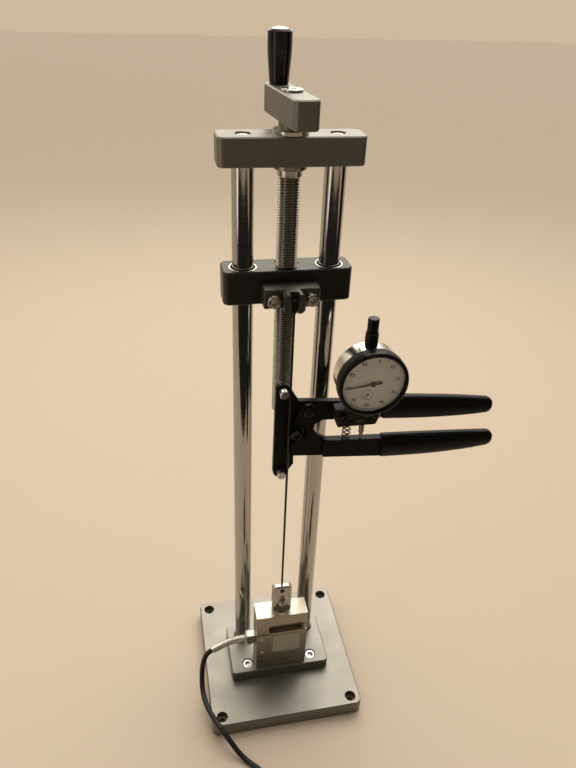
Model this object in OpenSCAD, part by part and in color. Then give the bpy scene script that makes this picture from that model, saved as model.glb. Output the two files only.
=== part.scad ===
// Spoke tension meter on its calibration stand, millimetres.
// Origin: middle of the base plate's underside. +X right, +Y back, +Z up.
// A lead screw draws a crosshead up two columns and pulls a spoke against a load cell.
// A hand meter is clipped to the spoke: two fixed pins on one side, a roller on a
// sprung lever on the other, and a dial that reads how far the lever has swung.

/* [Base] */
// Width of the base plate
base_w = 150; // [140:1:180]
// Depth of the base plate
base_d = 148; // [140:1:180]
// Thickness of the base plate
base_t = 16; // [14:0.5:20]
// Corner radius of the base plate
base_corner_r = 6; // [3:0.5:9]
// Distance of the bench bolt holes from the base's left and right edges
bench_hole_side = 10; // [8:0.5:12]
// Distance of the bench bolt holes from the base's front and back edges
bench_hole_front = 9; // [8:0.5:12]
// Diameter of the bench bolt holes
bench_hole_d = 6.6; // [5.5:0.1:7]
// Diameter of the bench bolt counterbores
bench_head_d = 11; // [10:0.5:12]
// Depth of the bench bolt counterbores
bench_head_depth = 7; // [5:0.5:9]
// Bevel along the top edges of the plates
plate_bevel = 0.8; // [0.3:0.1:1.5]

/* [Riser] */
// Width of the riser plate
riser_w = 100; // [94:1:110]
// Depth of the riser plate
riser_d = 58; // [54:1:70]
// Thickness of the riser plate
riser_t = 12; // [10:0.5:16]
// Corner radius of the riser plate
riser_corner_r = 4; // [2:0.5:6]
// How far the front screws of the riser stand from its front edge
riser_screw_inset = 10.6; // [9:0.2:11]

/* [Columns] */
// Diameter of the guide columns
column_d = 16; // [14:0.5:18]
// Distance between the two columns
column_pitch = 66; // [62:1:70]
// How far the columns stand behind the middle of the base
column_y = 17.8; // [17:0.2:19]
// Height of the columns between riser and top plate
column_h = 497.5; // [480:0.5:540]
// Depth of the sockets that hold the column ends
column_socket = 4; // [3:0.5:5]

/* [Top plate] */
// Length of the top plate
top_w = 103; // [98:1:112]
// Depth of the top plate and of the crosshead
beam_d = 25; // [24:0.5:28]
// Thickness of the top plate
top_t = 20; // [18:0.5:24]
// Corner radius of the top plate and of the crosshead
beam_corner_r = 5; // [2:0.5:7]

/* [Lead screw] */
// Outer diameter of the lead screw
screw_d = 16; // [14:0.5:17]
// Lead of the screw: how far one turn moves the crosshead
screw_lead = 2; // [1.5:0.5:4]
// Length of the threaded part
screw_len = 196; // [150:1:200]
// Diameter of the screw's plain neck in its bearing
screw_neck_d = 12; // [10:0.5:13]
// Outer diameter of the bearing bush in the top plate
bearing_d = 20; // [18:0.5:21]
// Diameter of the bearing flange under the top plate
bearing_flange_d = 24; // [23:0.5:27]
// Thickness of the bearing flange
bearing_flange_t = 3; // [2:0.5:4]
// Diameter of the collar that locks the screw under the bearing
collar_d = 18; // [17:0.5:21]
// Height of the collar
collar_h = 6; // [4:0.5:8]
// Diameter of the thrust washer on the top plate
washer_d = 25; // [22:0.5:26]
// Thickness of the thrust washer
washer_t = 2.4; // [1.5:0.1:3]

/* [Crank] */
// Length of the crank arm
crank_len = 74; // [66:1:90]
// Width of the crank arm
crank_w = 17.8; // [16:0.2:20]
// Height of the crank arm
crank_h = 19; // [16:0.5:22]
// Distance of the grip's axis from the arm's long end
grip_inset = 9; // [8.5:0.5:12]
// How far the short end of the arm reaches past the screw's axis
crank_short_end = 34; // [25:0.5:36]
// Height of the hub under the arm
crank_hub_h = 4.6; // [3:0.2:8]
// Diameter of the hub under the arm
crank_hub_d = 17.5; // [15:0.5:17.5]
// Angle of the arm, counted from the right
crank_angle = 96.2; // [0:0.1:360]
// Height of the revolving grip
grip_h = 33.6; // [28:0.2:45]
// Diameter of the grip at its foot
grip_foot_d = 13.4; // [12.5:0.1:15]
// Largest diameter of the grip
grip_d = 16.8; // [15:0.1:19]
// Diameter of the grip's spindle
grip_spindle_d = 8; // [6:0.5:9]

/* [Crosshead] */
// Length of the crosshead
cross_w = 98; // [96:1:106]
// Height of the crosshead
cross_h = 26; // [24:0.5:30]
// Height of the crosshead's underside above the bench
cross_z = 425; // [420:0.5:435]
// Outer diameter of the guide bushes
bush_d = 21.6; // [20:0.2:23]
// Outer diameter of the lead nut
nut_d = 19.4; // [18.5:0.1:19.6]

/* [Spoke bracket] */
// Width of the bracket on the crosshead
bracket_w = 42; // [40:0.5:44]
// Height of the bracket
bracket_h = 15; // [13:0.5:18]
// Height of the bracket's underside above the crosshead's underside
bracket_rise = 2.4; // [0.5:0.1:6]
// Thickness of the bracket's ears
bracket_ear_t = 13.7; // [12:0.1:15]
// Width of the forked nose
nose_w = 15.6; // [14:0.2:16]
// How far the nose reaches past the spoke
nose_reach = 2.2; // [1.5:0.1:4]
// Width of the slot in the nose
nose_slot_w = 4.7; // [4.3:0.1:5.2]
// Distance between the bracket's two screws
bracket_screw_pitch = 28.4; // [27:0.2:30]

/* [Spoke] */
// Diameter of the spoke
spoke_d = 2; // [1.8:0.1:2.3]
// How far the spoke stands in front of the middle of the base
spoke_front = 16.4; // [16:0.1:17.5]
// Diameter of the nipple's head
nipple_head_d = 6; // [5.4:0.1:6.4]
// Length of the nipple below its head
nipple_len = 9; // [7:0.5:11]

/* [Load cell] */
// Width of the S-shaped load cell
cell_w = 50.8; // [48:0.1:56]
// Thickness of the load cell
cell_d = 19.05; // [17:0.05:21]
// Height of the load cell
cell_h = 76.2; // [72:0.1:82]
// Width of the two slits
slit_w = 1.2; // [0.8:0.1:2]
// How far each slit stops short of the far side
slit_end = 12; // [9:0.5:16]
// Height of the upper slit above the cell's foot
upper_slit_h = 52; // [50:0.5:56]
// Height of the lower slit above the cell's foot
lower_slit_h = 16.5; // [14.5:0.5:19]
// Height of the pockets beside the slits
cell_pocket_h = 9.6; // [6:0.2:11]
// Depth of the pocket above the upper slit, on both faces
upper_pocket_depth = 5; // [3:0.5:6]
// Depth of the pocket below the lower slit, on both faces
lower_pocket_depth = 3; // [1:0.5:3]
// Width of the cover over the gauges
cover_w = 12; // [10:0.5:12]
// Height of the cover over the gauges
cover_h = 32; // [28:0.5:33]
// Thickness of the cover over the gauges
cover_t = 1; // [0.6:0.1:2]

/* [Spoke anchor] */
// Diameter of the round post on the load cell
anchor_d = 19.2; // [18:0.2:21]
// Height of the post
anchor_h = 34; // [32:0.5:42]
// Height of the round foot below the flat
anchor_foot_h = 4; // [3:0.5:6]
// How far the front flat lies in front of the spoke
anchor_flat = 3.6; // [3:0.1:5]
// Thickness of the tongue between the two flats
anchor_tongue_t = 5.6; // [5.2:0.1:8]
// Distance of the spoke's hooked end from the top of the post
anchor_hook_drop = 6.3; // [5:0.1:9]

/* [Gland] */
// Height of the cable gland above the cell's foot
gland_h = 38; // [26:0.5:42]
// Size of the gland body's hexagon across its flats
gland_flats = 12; // [10:0.5:13]
// Length of the gland's body
gland_len = 5; // [4:0.5:8]
// Size of the gland nut's hexagon across its flats
gland_nut_flats = 13.5; // [11:0.5:14]
// Length of the gland's nut
gland_nut_len = 4.6; // [4:0.2:7]
// Diameter of the cable
cable_d = 5; // [5:0.1:5.2]
// Diameter of the strain relief at the gland
relief_d = 7.6; // [7:0.1:8]
// Mean radius of the coil's innermost loop
coil_inner_r = 17; // [17:0.5:19]
// Loops in each layer of the coil
coil_loops = 4; // [3:1:4]

/* [Meter frame] */
// Height of the meter's roller above the bench
meter_z = 316.8; // [312:0.2:319]
// Thickness of the frame plate
frame_t = 5; // [4:0.5:6]
// Distance from the spoke's axis back to the face of the frame plate
frame_back = 3.6; // [3.4:0.1:4.2]
// Distance between the two jaw pins
jaw_pin_pitch = 81; // [76:1:84]
// Diameter of the jaw pins
jaw_pin_d = 7.5; // [6:0.1:8]
// Length of the jaw pins in front of the plate
jaw_pin_len = 7; // [5:0.5:9]
// Gap between the spoke and each pin, and between spoke and roller
jaw_gap = 0.3; // [0.3:0.05:0.5]
// Width of the round end of the jaw at the top
jaw_end_d = 11.6; // [11:0.2:13]
// Width of the round end of the jaw at the bottom
jaw_foot_d = 12.8; // [11:0.2:14]
// Diameter of the pivot pin
pivot_d = 6; // [5:0.5:7]
// Length of the handles, from the spoke to the tip of the upper grip
handle_len = 180.7; // [170:0.1:200]
// Distance from the spoke to the front end of the grips
handle_grip_start = 80; // [78:0.5:90]
// Height of the grips
handle_grip_h = 22.8; // [20:0.2:24]
// Thickness of the grips
handle_grip_t = 12; // [9:0.5:12]

/* [Lever] */
// Thickness of the lever's head, round the pivot and the roller
lever_head_t = 3.8; // [3.4:0.1:4]
// Thickness of the lever's arm
lever_arm_t = 6.4; // [5:0.1:7]
// Clearance between the frame plate and the lever
lever_gap = 0.2; // [0.1:0.05:0.4]
// Diameter of the roller on the lever
roller_d = 9.6; // [8.6:0.2:11]
// Diameter of the roller's flange behind the spoke
roller_flange_d = 14.8; // [12:0.2:16]
// Diameter of the roller's axle
roller_axle_d = 4; // [3:0.5:5]
// Swing of the lever when the handles are squeezed, degrees
lever_swing = 4.5; // [3:0.1:5]
// Diameter of the return spring
spring_d = 7.4; // [6:0.1:8]
// Diameter of the return spring's wire
spring_wire = 1.1; // [0.8:0.1:1.4]
// Turns of the return spring
spring_turns = 6; // [4:1:8]

/* [Dial] */
// Distance from the spoke to the dial's axis
dial_x = 61.3; // [59:0.1:62]
// Height of the dial's axis above the roller
dial_rise = 53.8; // [53.4:0.1:57]
// Diameter of the dial's case
case_d = 52.8; // [50:0.2:53]
// Depth of the case behind the bezel
case_depth = 18.3; // [16:0.1:20]
// Diameter of the bezel
bezel_d = 56.6; // [55:0.2:58]
// Diameter of the stem
stem_d = 8; // [7:0.5:8]
// Diameter of the spindle
spindle_d = 4.5; // [4:0.1:5]
// Diameter of the black guard round the spindle
guard_d = 10.3; // [9.6:0.1:12]
// Height of the guard above the case
guard_h = 11; // [9:0.5:14]
// Diameter of the spindle's cap
cap_d = 8.8; // [7:0.1:10]
// Height of the spindle's cap
cap_h = 11.7; // [9:0.1:14]
// Outer diameter of the fixed middle of the dial
centre_disc_d = 30.2; // [27:0.2:32]
// Length of the long needle
needle_len = 22.4; // [20:0.2:23]

/* [Hidden] */
$fn = 64;

fit = 0.05;             // radial clearance of a shaft or shank in its bore
counterbore_gap = 0.5;  // radial clearance of a screw head in its counterbore
cut = 1;                // how far a cut runs past a face
washer_lift = 0.1;      // the washer turns with the screw, clear of the plate

// Fasteners: [shank diameter, head diameter, head height, hexagon across corners]
m3 = [3, 5.5, 3, 2.9];
m4 = [4, 7, 4, 3.5];
m6 = [6, 10, 6, 5.8];
m8 = [8, 13, 8, 6.9];
m12 = [12, 18, 12, 11.5];

// Heights of the stand
riser_top = base_t + riser_t;
column_foot = riser_top - column_socket;
top_z = riser_top + column_h;
top_face = top_z + top_t;
washer_top = top_face + washer_lift + washer_t;
crank_z = washer_top + crank_hub_h;
crank_top = crank_z + crank_h;
crank_radius = crank_len - crank_short_end - grip_inset;
column_x = column_pitch / 2;
riser_screw_y = -(riser_d / 2 - riser_screw_inset);
beam_front = column_y - beam_d / 2;
screw_top = top_z - bearing_flange_t - collar_h;
screw_foot = screw_top - screw_len;

// Screw lengths and the depths of their holes
riser_screw_len = 16;
foot_bolt_len = 30;
top_screw_len = 30;
bracket_screw_len = 24;
cell_bolt_len = 28;
thread_gap = 1;         // how far a tapped hole runs past its screw
crank_screw_len = 15;
crank_disc_d = 14.6;
crank_disc_t = 1.6;

// Spoke, anchor and bracket
spoke_y = -spoke_front;
cell_top = riser_top + cell_h;
anchor_top = cell_top + anchor_h;
hook_z = anchor_top - anchor_hook_drop;
hook_r = 2.5;           // bend radius of the spoke's hooked end
hook_head_d = 3.8;      // head of the hooked end
hook_head_t = 0.9;
hook_hole_d = 5;        // countersink that the head sits in
hook_hole_depth = 1.8;
anchor_pocket_w = 13.8; // oval pocket in the front flat
anchor_pocket_depth = 0.8;
anchor_bevel = 1.2;
anchor_corner_r = 4;
anchor_screw_z = cell_top + 13.8;
anchor_screw_len = 4;
anchor_stud_d = 12;
anchor_stud_len = 10.5;
bracket_z = cross_z + bracket_rise;
bracket_front = beam_front - bracket_ear_t;
nose_front = spoke_y - nose_reach;
nipple_seat_d = nipple_head_d + 1.6;
nipple_seat_depth = 6;
nipple_seat_z = bracket_z + bracket_h - nipple_seat_depth;
nipple_head_h = 2;
nipple_d = 4;
nipple_lift = 0.02;     // the head's clearance over its seat
bracket_screw_z = bracket_z + bracket_h / 2;

// Load cell
cell_front = spoke_y - cell_d / 2;
cell_pocket_wall = 3.4;     // between a pocket and the cell's side
cell_pocket_r = 2.5;
slit_mouth = 1.5;
upper_slit_z = riser_top + upper_slit_h;
lower_slit_z = riser_top + lower_slit_h;
cover_z = lower_slit_z + slit_w + 1.2;
gland_z = riser_top + gland_h;
gland_thread_d = 6;
gland_thread_len = 5;
gland_bore_d = 3.4;
gland_face = [-cell_w / 2 - gland_len - gland_nut_len, spoke_y, gland_z];
relief_end_d = cable_d + 1.8;
relief_ribs = 24;

// Cable route: points chosen by hand, millimetres. The relief's are counted from the
// outer face of the gland's nut, the others from the base plate's origin.
relief_steps = [[0, 0, 0], [-5, 0, 0], [-10, 0, -0.5], [-16, 0, -2], [-22.5, 0, -5],
    [-28, 0, -8.1], [-33, 0, -11.2]];
relief_route = [for (p = relief_steps) gland_face + p];
relief_end = relief_route[len(relief_route) - 1];
relief_heading = relief_end - relief_route[len(relief_route) - 2];
lead_steps = [[-75.8, -17, 47.2], [-78.4, -18.8, 40.6], [-80, -21.4, 33.8], [-81, -25.8, 26.8],
    [-81.4, -31.8, 21.6], [-81, -40, 18.8], [-79.2, -50, 18.6], [-76, -60, 18.6],
    [-71.8, -69.6, 18.7], [-66.6, -79, 17.8], [-60.4, -88, 13.2], [-53.6, -96.4, 7],
    [-46.4, -104, 3.2], [-38, -112.2, 2.6], [-31, -120.2, 2.6], [-26, -129, 2.6],
    [-23.2, -139, 2.6], [-22.2, -150, 2.6], [-22, -162, 2.6], [-22, -174, 2.6],
    [-22, -180, 2.6], [-22, -186, 2.6]];
lead_route = concat([relief_end, relief_end + cable_d * relief_heading / norm(relief_heading)],
    lead_steps);
tail_route = [[37, -227, 8.4], [43, -227, 8.4], [50, -227, 7.7], [57, -227, 7.7],
    [64, -227, 8.4], [70, -227, 8.4]];
cable_sides = 10;
half_turn = 180;
coil_pitch = 6.4;       // from one loop to the next
coil_layer = 5.8;       // from one layer to the next
coil_rings = 24;        // rings in one loop
coil_sides = 6;
coil_out_loops = coil_loops - 0.25;
coil_outer_r = coil_inner_r + coil_loops * coil_pitch;
coil_start = lead_route[len(lead_route) - 1];
coil_centre = [coil_start[0] + coil_outer_r, coil_start[1]];
coil_turns = coil_loops + 0.5 + coil_out_loops;
coil_exit_r = coil_inner_r + coil_out_loops * coil_pitch;
plug_d = 16;
plug_len = 40;
plug_start = tail_route[len(tail_route) - 1];

// Meter: local X runs along the handles from the spoke, Y up from the roller's
// height, Z forward from the spoke's axis.
pin_x = -(spoke_d / 2 + jaw_gap + jaw_pin_d / 2);
pin_y = jaw_pin_pitch / 2;
plate_front = -frame_back;
plate_back = plate_front - frame_t;
roller_at = [spoke_d / 2 + jaw_gap + roller_d / 2, 1];
pivot = [15.5, 20.5];
pivot_head_r = 7.5;     // round end of the lever at the pivot
lever_back = plate_front + lever_gap;
lever_front = lever_back + lever_head_t;
lever_split = 29.5;     // where the lever's thin head meets its thick arm
roller_back = -spoke_d / 2 - 1.2;
roller_front = 4.6;
roller_flange_t = 0.8;
roller_room = 9;        // radius of the pocket round the roller
tongue_gap = 0.2;
lever_mid = lever_back + lever_arm_t / 2;
frame_mid = (plate_front + plate_back) / 2;
grip_tip_r = 5;
lower_grip_extra = 3.5; // the lower grip is longer by this much
grip_wall = 4;          // rubber above and below the arm inside it
grip_slot_gap = 0.1;
dial_z = 1.3;           // the stem's axis in front of the spoke's axis
face_z = dial_z + 13.9; // the dial's printed face
case_back = dial_z - 7.8;
case_front = case_back + case_depth;
case_bottom = dial_rise - case_d / 2;
case_top = dial_rise + case_d / 2;
clamp_front = 7;
clamp_bottom = 8.4;
clamp_top = case_bottom - 1.6;
spring_x = 48.6;
spring_z = 0.9;
lever_top_slope = 0.063;
spring_foot = lever_top(spring_x) + 0.35;
spring_head = clamp_bottom + 3;
tip_y = lever_top(dial_x) + 0.3;
tip_d = 3;
zero_turn = -10;        // where the bezel's zero stands, degrees from upright
needle_turn = 98;       // where the long needle points, degrees from upright
counter_at = [-3.8, -9.7];
counter_turn = 130;
counter_len = 3.6;
guard_stub_h = 3;       // neck on the case that the guard fits over
bezel_lip_r = 25;
bezel_front = face_z + 4.4;
bezel_back = case_front - 2.6;
crystal_back = face_z + 1.9;
crystal_t = 1.2;
crystal_r = 25.8;

function lever_top(x) = -7.2 - lever_top_slope * (x - 33);
function along(a, b, t) = a + (b - a) * t;

// ---------- shared shapes ----------

module rounded_rect(w, d, r) {
    square([w - 2 * r, d], center = true);
    square([w, d - 2 * r], center = true);
    for (x = [-1, 1], y = [-1, 1])
        translate([x * (w / 2 - r), y * (d / 2 - r)]) circle(r = r);
}

// Section through a plate: a rectangle from z = 0 with its four corners cut
module bevelled_section(w, h, c) {
    polygon([[-w / 2, c], [c - w / 2, 0], [w / 2 - c, 0], [w / 2, c],
        [w / 2, h - c], [w / 2 - c, h], [c - w / 2, h], [-w / 2, h - c]]);
}

// A plate with rounded corners and bevelled top and bottom edges: two bars that cross,
// and a turned disc in each corner
module bevelled_plate(w, d, h, r, c) {
    rotate([90, 0, 90]) linear_extrude(w - 2 * r, center = true) bevelled_section(d, h, c);
    rotate([90, 0, 0]) linear_extrude(d - 2 * r, center = true) bevelled_section(w, h, c);
    for (x = [-1, 1], y = [-1, 1]) translate([x * (w / 2 - r), y * (d / 2 - r), 0])
        rotate_extrude() polygon([[0, 0], [r - c, 0], [r, c], [r, h - c], [r - c, h], [0, h]]);
}

// Socket-head screw: head above z = 0, shank below
module cap_screw(m, length) {
    difference() {
        union() {
            cylinder(d = m[1], h = m[2] - 0.4);
            translate([0, 0, m[2] - 0.4]) cylinder(d1 = m[1], d2 = m[1] - 0.8, h = 0.4);
            translate([0, 0, -length]) cylinder(d = m[0], h = length);
        }
        translate([0, 0, m[2] * 0.45]) cylinder(d = m[3], h = m[2], $fn = 6);
    }
}

// Hole for a screw whose head sits on z = 0, with its counterbore above
module screw_hole(m, length, head_depth) {
    translate([0, 0, -length - thread_gap]) cylinder(d = m[0] + 2 * fit, h = length + thread_gap);
    cylinder(d = m[1] + 2 * counterbore_gap, h = head_depth);
}

// Tube swept along points, one ring of sides at each, radius given per point
module swept_tube(points, radii, sides) {
    last = len(points) - 1;
    tangents = [for (i = [0 : last]) let (
        d = points[min(i + 1, last)] - points[max(i - 1, 0)]) d / norm(d)];
    rings = [for (i = [0 : last]) let (
        t = tangents[i],
        side = cross(t, [0, 0, 1]),
        u = side / norm(side),
        v = cross(t, u)
    ) [for (k = [0 : sides - 1])
        points[i] + radii[i] * (cos(360 * k / sides) * u + sin(360 * k / sides) * v)]];
    verts = [for (ring = rings) for (p = ring) p];
    walls = [for (i = [0 : last - 1]) for (k = [0 : sides - 1]) let (
        a = i * sides + k, b = i * sides + (k + 1) % sides)
        each [[a, b, b + sides], [a, b + sides, a + sides]]];
    start_cap = [for (k = [sides - 1 : -1 : 0]) k];
    end_cap = [for (k = [0 : sides - 1]) last * sides + k];
    polyhedron(verts, concat(walls, [start_cap, end_cap]), convexity = 8);
}

function lengths(points) = [for (i = [0 : len(points) - 2]) norm(points[i + 1] - points[i])];
function total(v, i = 0) = i >= len(v) ? 0 : v[i] + total(v, i + 1);

// ---------- stand ----------

module at_columns() {
    for (side = [-1, 1]) translate([side * column_x, column_y, 0]) children();
}

module at_screw() {
    translate([0, column_y, 0]) children();
}

module base_plate() {
    color("slategray") difference() {
        bevelled_plate(base_w, base_d, base_t, base_corner_r, plate_bevel);
        for (x = [-1, 1], y = [-1, 1])
            translate([x * (base_w / 2 - bench_hole_side), y * (base_d / 2 - bench_hole_front), 0]) {
                translate([0, 0, -cut]) cylinder(d = bench_hole_d, h = base_t + 2 * cut);
                translate([0, 0, base_t - bench_head_depth])
                    cylinder(d = bench_head_d, h = bench_head_depth + cut);
            }
        for (side = [-1, 1]) translate([side * column_x, riser_screw_y, riser_top - m6[2] - 1])
            screw_hole(m6, riser_screw_len, 1);
        at_columns() foot_bolt_hole();
        translate([0, spoke_y, 0]) cell_bolt_hole();
    }
}

module foot_bolt_hole() {
    translate([0, 0, m8[2] + 1]) mirror([0, 0, 1]) screw_hole(m8, foot_bolt_len, m8[2] + 1 + cut);
}

module cell_bolt_hole() {
    translate([0, 0, m12[2] + 1]) mirror([0, 0, 1]) screw_hole(m12, cell_bolt_len, m12[2] + 1 + cut);
}

module riser_plate() {
    color("slategray") difference() {
        translate([0, 0, base_t])
            bevelled_plate(riser_w, riser_d, riser_t, riser_corner_r, plate_bevel);
        for (side = [-1, 1]) translate([side * column_x, riser_screw_y, riser_top - m6[2] - 1])
            screw_hole(m6, riser_screw_len, m6[2] + 1 + cut);
        at_columns() {
            foot_bolt_hole();
            translate([0, 0, column_foot]) cylinder(d = column_d + 2 * fit, h = column_socket + cut);
            translate([0, 0, riser_top - 1])
                cylinder(d1 = column_d + 2 * fit, d2 = column_d + 3, h = 1.01);
        }
        translate([0, spoke_y, 0]) cell_bolt_hole();
    }
}

module riser_screws() {
    color("silver") for (side = [-1, 1])
        translate([side * column_x, riser_screw_y, riser_top - m6[2] - 1])
            cap_screw(m6, riser_screw_len);
}

module column() {
    bottom = column_foot;
    top = top_z + column_socket;
    bolt_end = m8[2] + 1 + foot_bolt_len + thread_gap;
    screw_end = top_face - m6[2] - 1 - top_screw_len - thread_gap;
    color("gainsboro") difference() {
        union() {
            translate([0, 0, bottom]) cylinder(d1 = column_d - 1.6, d2 = column_d, h = 0.8);
            translate([0, 0, bottom + 0.8]) cylinder(d = column_d, h = top - bottom - 1.6);
            translate([0, 0, top - 0.8]) cylinder(d1 = column_d, d2 = column_d - 1.6, h = 0.8);
        }
        translate([0, 0, bottom - cut]) cylinder(d = m8[0] + 2 * fit, h = bolt_end - bottom + cut);
        translate([0, 0, screw_end]) cylinder(d = m6[0] + 2 * fit, h = top - screw_end + cut);
    }
}

module column_left() { translate([-column_x, column_y, 0]) column(); }
module column_right() { translate([column_x, column_y, 0]) column(); }

module column_foot_bolts() {
    color("silver") at_columns() translate([0, 0, m8[2] + 1]) mirror([0, 0, 1])
        cap_screw(m8, foot_bolt_len);
}

module column_top_screws() {
    color("silver") at_columns() translate([0, 0, top_face - m6[2] - 1])
        cap_screw(m6, top_screw_len);
}

module top_plate() {
    color("dimgray") difference() {
        translate([0, column_y, top_z])
            bevelled_plate(top_w, beam_d, top_t, beam_corner_r, plate_bevel);
        at_columns() {
            translate([0, 0, top_z - cut])
                cylinder(d = column_d + 2 * fit, h = column_socket + cut);
            translate([0, 0, top_face - m6[2] - 1]) screw_hole(m6, top_screw_len, m6[2] + 1 + cut);
        }
        at_screw() translate([0, 0, top_z - cut])
            cylinder(d = bearing_d + 2 * fit, h = top_t + 2 * cut);
    }
}

module screw_bearing() {
    color("darkslategray") at_screw() difference() {
        union() {
            translate([0, 0, top_z]) cylinder(d = bearing_d, h = top_t);
            translate([0, 0, top_z - bearing_flange_t])
                cylinder(d = bearing_flange_d, h = bearing_flange_t);
        }
        translate([0, 0, top_z - bearing_flange_t - cut])
            cylinder(d = screw_neck_d + 2 * fit, h = top_t + bearing_flange_t + 2 * cut);
    }
}

// ---------- load cell and spoke ----------

// One slit with the shallow pocket beside it, cut into both faces
module cell_slit(z, from_right, pocket_above, depth) {
    side = from_right ? 1 : -1;
    x_far = -side * (cell_w / 2 - slit_end);
    x_open = side * (cell_w / 2 + cut);
    pocket_z = pocket_above ? z + slit_w : z - cell_pocket_h;
    pocket_end = side * (cell_w / 2 - cell_pocket_wall);
    translate([min(x_far, x_open), cell_front - cut, z])
        cube([abs(x_open - x_far), cell_d + 2 * cut, slit_w]);
    for (face = [0, 1]) {
        y = face == 0 ? cell_front - cut : cell_front + cell_d - depth;
        translate([(x_far + pocket_end) / 2, y + depth + cut, pocket_z + cell_pocket_h / 2])
            rotate([90, 0, 0]) linear_extrude(depth + cut)
                rounded_rect(abs(pocket_end - x_far), cell_pocket_h, cell_pocket_r);
    }
}

module load_cell() {
    color("silver") difference() {
        translate([-cell_w / 2, cell_front, riser_top]) cube([cell_w, cell_d, cell_h]);
        cell_slit(upper_slit_z, true, true, upper_pocket_depth);
        cell_slit(lower_slit_z, false, false, lower_pocket_depth);
        translate([0, spoke_y, 0]) cell_bolt_hole();
        translate([0, spoke_y, cell_top - anchor_stud_len - thread_gap])
            cylinder(d = anchor_stud_d + 2 * fit, h = anchor_stud_len + thread_gap + cut);
        at_cover_screws() screw_hole([m3[0], m3[0], 0, 0], 5, 0.01);
        translate([-cell_w / 2 - cut, spoke_y, gland_z]) rotate([0, 90, 0])
            cylinder(d = gland_thread_d + 2 * fit, h = gland_thread_len + thread_gap + cut);
        // wider mouth of the upper slit
        translate([cell_w / 2 - slit_mouth, cell_front - cut, upper_slit_z - slit_mouth / 2])
            cube([slit_mouth + cut, cell_d + 2 * cut, slit_w + slit_mouth]);
    }
}

module load_cell_bolt() {
    color("silver") translate([0, spoke_y, m12[2] + 1]) mirror([0, 0, 1])
        cap_screw(m12, cell_bolt_len);
}

module at_cover_screws() {
    for (z = [cover_z + 6, cover_z + cover_h - 6])
        translate([cover_w / 2 - cell_w / 2, cell_front, z]) rotate([90, 0, 0]) children();
}

module gauge_cover() {
    color("lightgray") difference() {
        translate([-cell_w / 2, cell_front - cover_t, cover_z]) cube([cover_w, cover_t, cover_h]);
        at_cover_screws() translate([0, 0, -cut]) cylinder(d = m3[0] + 2 * fit, h = cover_t + 2 * cut);
    }
}

module gauge_cover_screws() {
    color("silver") at_cover_screws() translate([0, 0, cover_t])
        cap_screw([m3[0], 4.2, 1.2, 1.8], cover_t + 4);
}

module spoke_anchor() {
    flat_y = spoke_y - anchor_flat;
    tongue_z = cell_top + anchor_foot_h;
    color("gainsboro") difference() {
        translate([0, spoke_y, cell_top]) {
            cylinder(d = anchor_d, h = anchor_foot_h + 0.01);
            translate([0, 0, -anchor_stud_len]) cylinder(d = anchor_stud_d, h = anchor_stud_len);
            intersection() {
                union() {
                    cylinder(d = anchor_d, h = anchor_h - anchor_bevel);
                    translate([0, 0, anchor_h - anchor_bevel])
                        cylinder(d1 = anchor_d, d2 = anchor_d - 2 * anchor_bevel, h = anchor_bevel);
                }
                // tongue with round upper corners and bevelled top edges
                translate([0, anchor_tongue_t - anchor_flat, 0]) rotate([90, 0, 0])
                    linear_extrude(anchor_tongue_t) tongue_outline();
                rotate([90, 0, 90]) linear_extrude(anchor_d, center = true)
                    polygon([[-anchor_flat, 0], [anchor_tongue_t - anchor_flat, 0],
                        [anchor_tongue_t - anchor_flat, anchor_h - anchor_bevel],
                        [anchor_tongue_t - anchor_flat - anchor_bevel, anchor_h],
                        [anchor_bevel - anchor_flat, anchor_h],
                        [-anchor_flat, anchor_h - anchor_bevel]]);
            }
        }
        anchor_pocket(flat_y);
        translate([0, flat_y + hook_hole_depth, hook_z]) rotate([90, 0, 0])
            cylinder(d = hook_hole_d, h = anchor_d);
        translate([0, spoke_y, hook_z]) cylinder(d = spoke_d + 2 * fit, h = anchor_h);
        translate([0, flat_y + cut, hook_z]) rotate([-90, 0, 0])
            cylinder(d = spoke_d + 2 * fit + 0.6, h = anchor_flat - cut);
        translate([-spoke_d / 2 - fit - 0.3, flat_y, hook_z])
            cube([spoke_d + 2 * fit + 0.6, anchor_flat, hook_r]);
        translate([0, flat_y + anchor_pocket_depth, anchor_screw_z]) rotate([90, 0, 0])
            screw_hole(m4, anchor_screw_len, cut);
    }
}

// The tongue seen from the front
module tongue_outline() {
    half = anchor_d / 2;
    square_top = anchor_h - anchor_corner_r;
    translate([-half, 0]) square([anchor_d, square_top]);
    translate([anchor_corner_r - half, 0]) square([anchor_d - 2 * anchor_corner_r, anchor_h]);
    for (side = [-1, 1]) translate([side * (half - anchor_corner_r), square_top])
        circle(r = anchor_corner_r);
}

// Oval pocket in the front flat
module anchor_pocket(flat_y) {
    arch_z = anchor_top - anchor_pocket_w / 2 - anchor_bevel - 0.4;
    translate([0, flat_y + anchor_pocket_depth, 0]) rotate([90, 0, 0]) linear_extrude(cut + 1) {
        translate([0, anchor_screw_z]) circle(d = anchor_pocket_w);
        translate([0, arch_z]) circle(d = anchor_pocket_w);
        translate([-anchor_pocket_w / 2, anchor_screw_z])
            square([anchor_pocket_w, arch_z - anchor_screw_z]);
    }
}

module anchor_screw() {
    color("white") translate([0, spoke_y - anchor_flat + anchor_pocket_depth, anchor_screw_z])
        rotate([90, 0, 0]) cap_screw(m4, anchor_screw_len);
}

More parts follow.
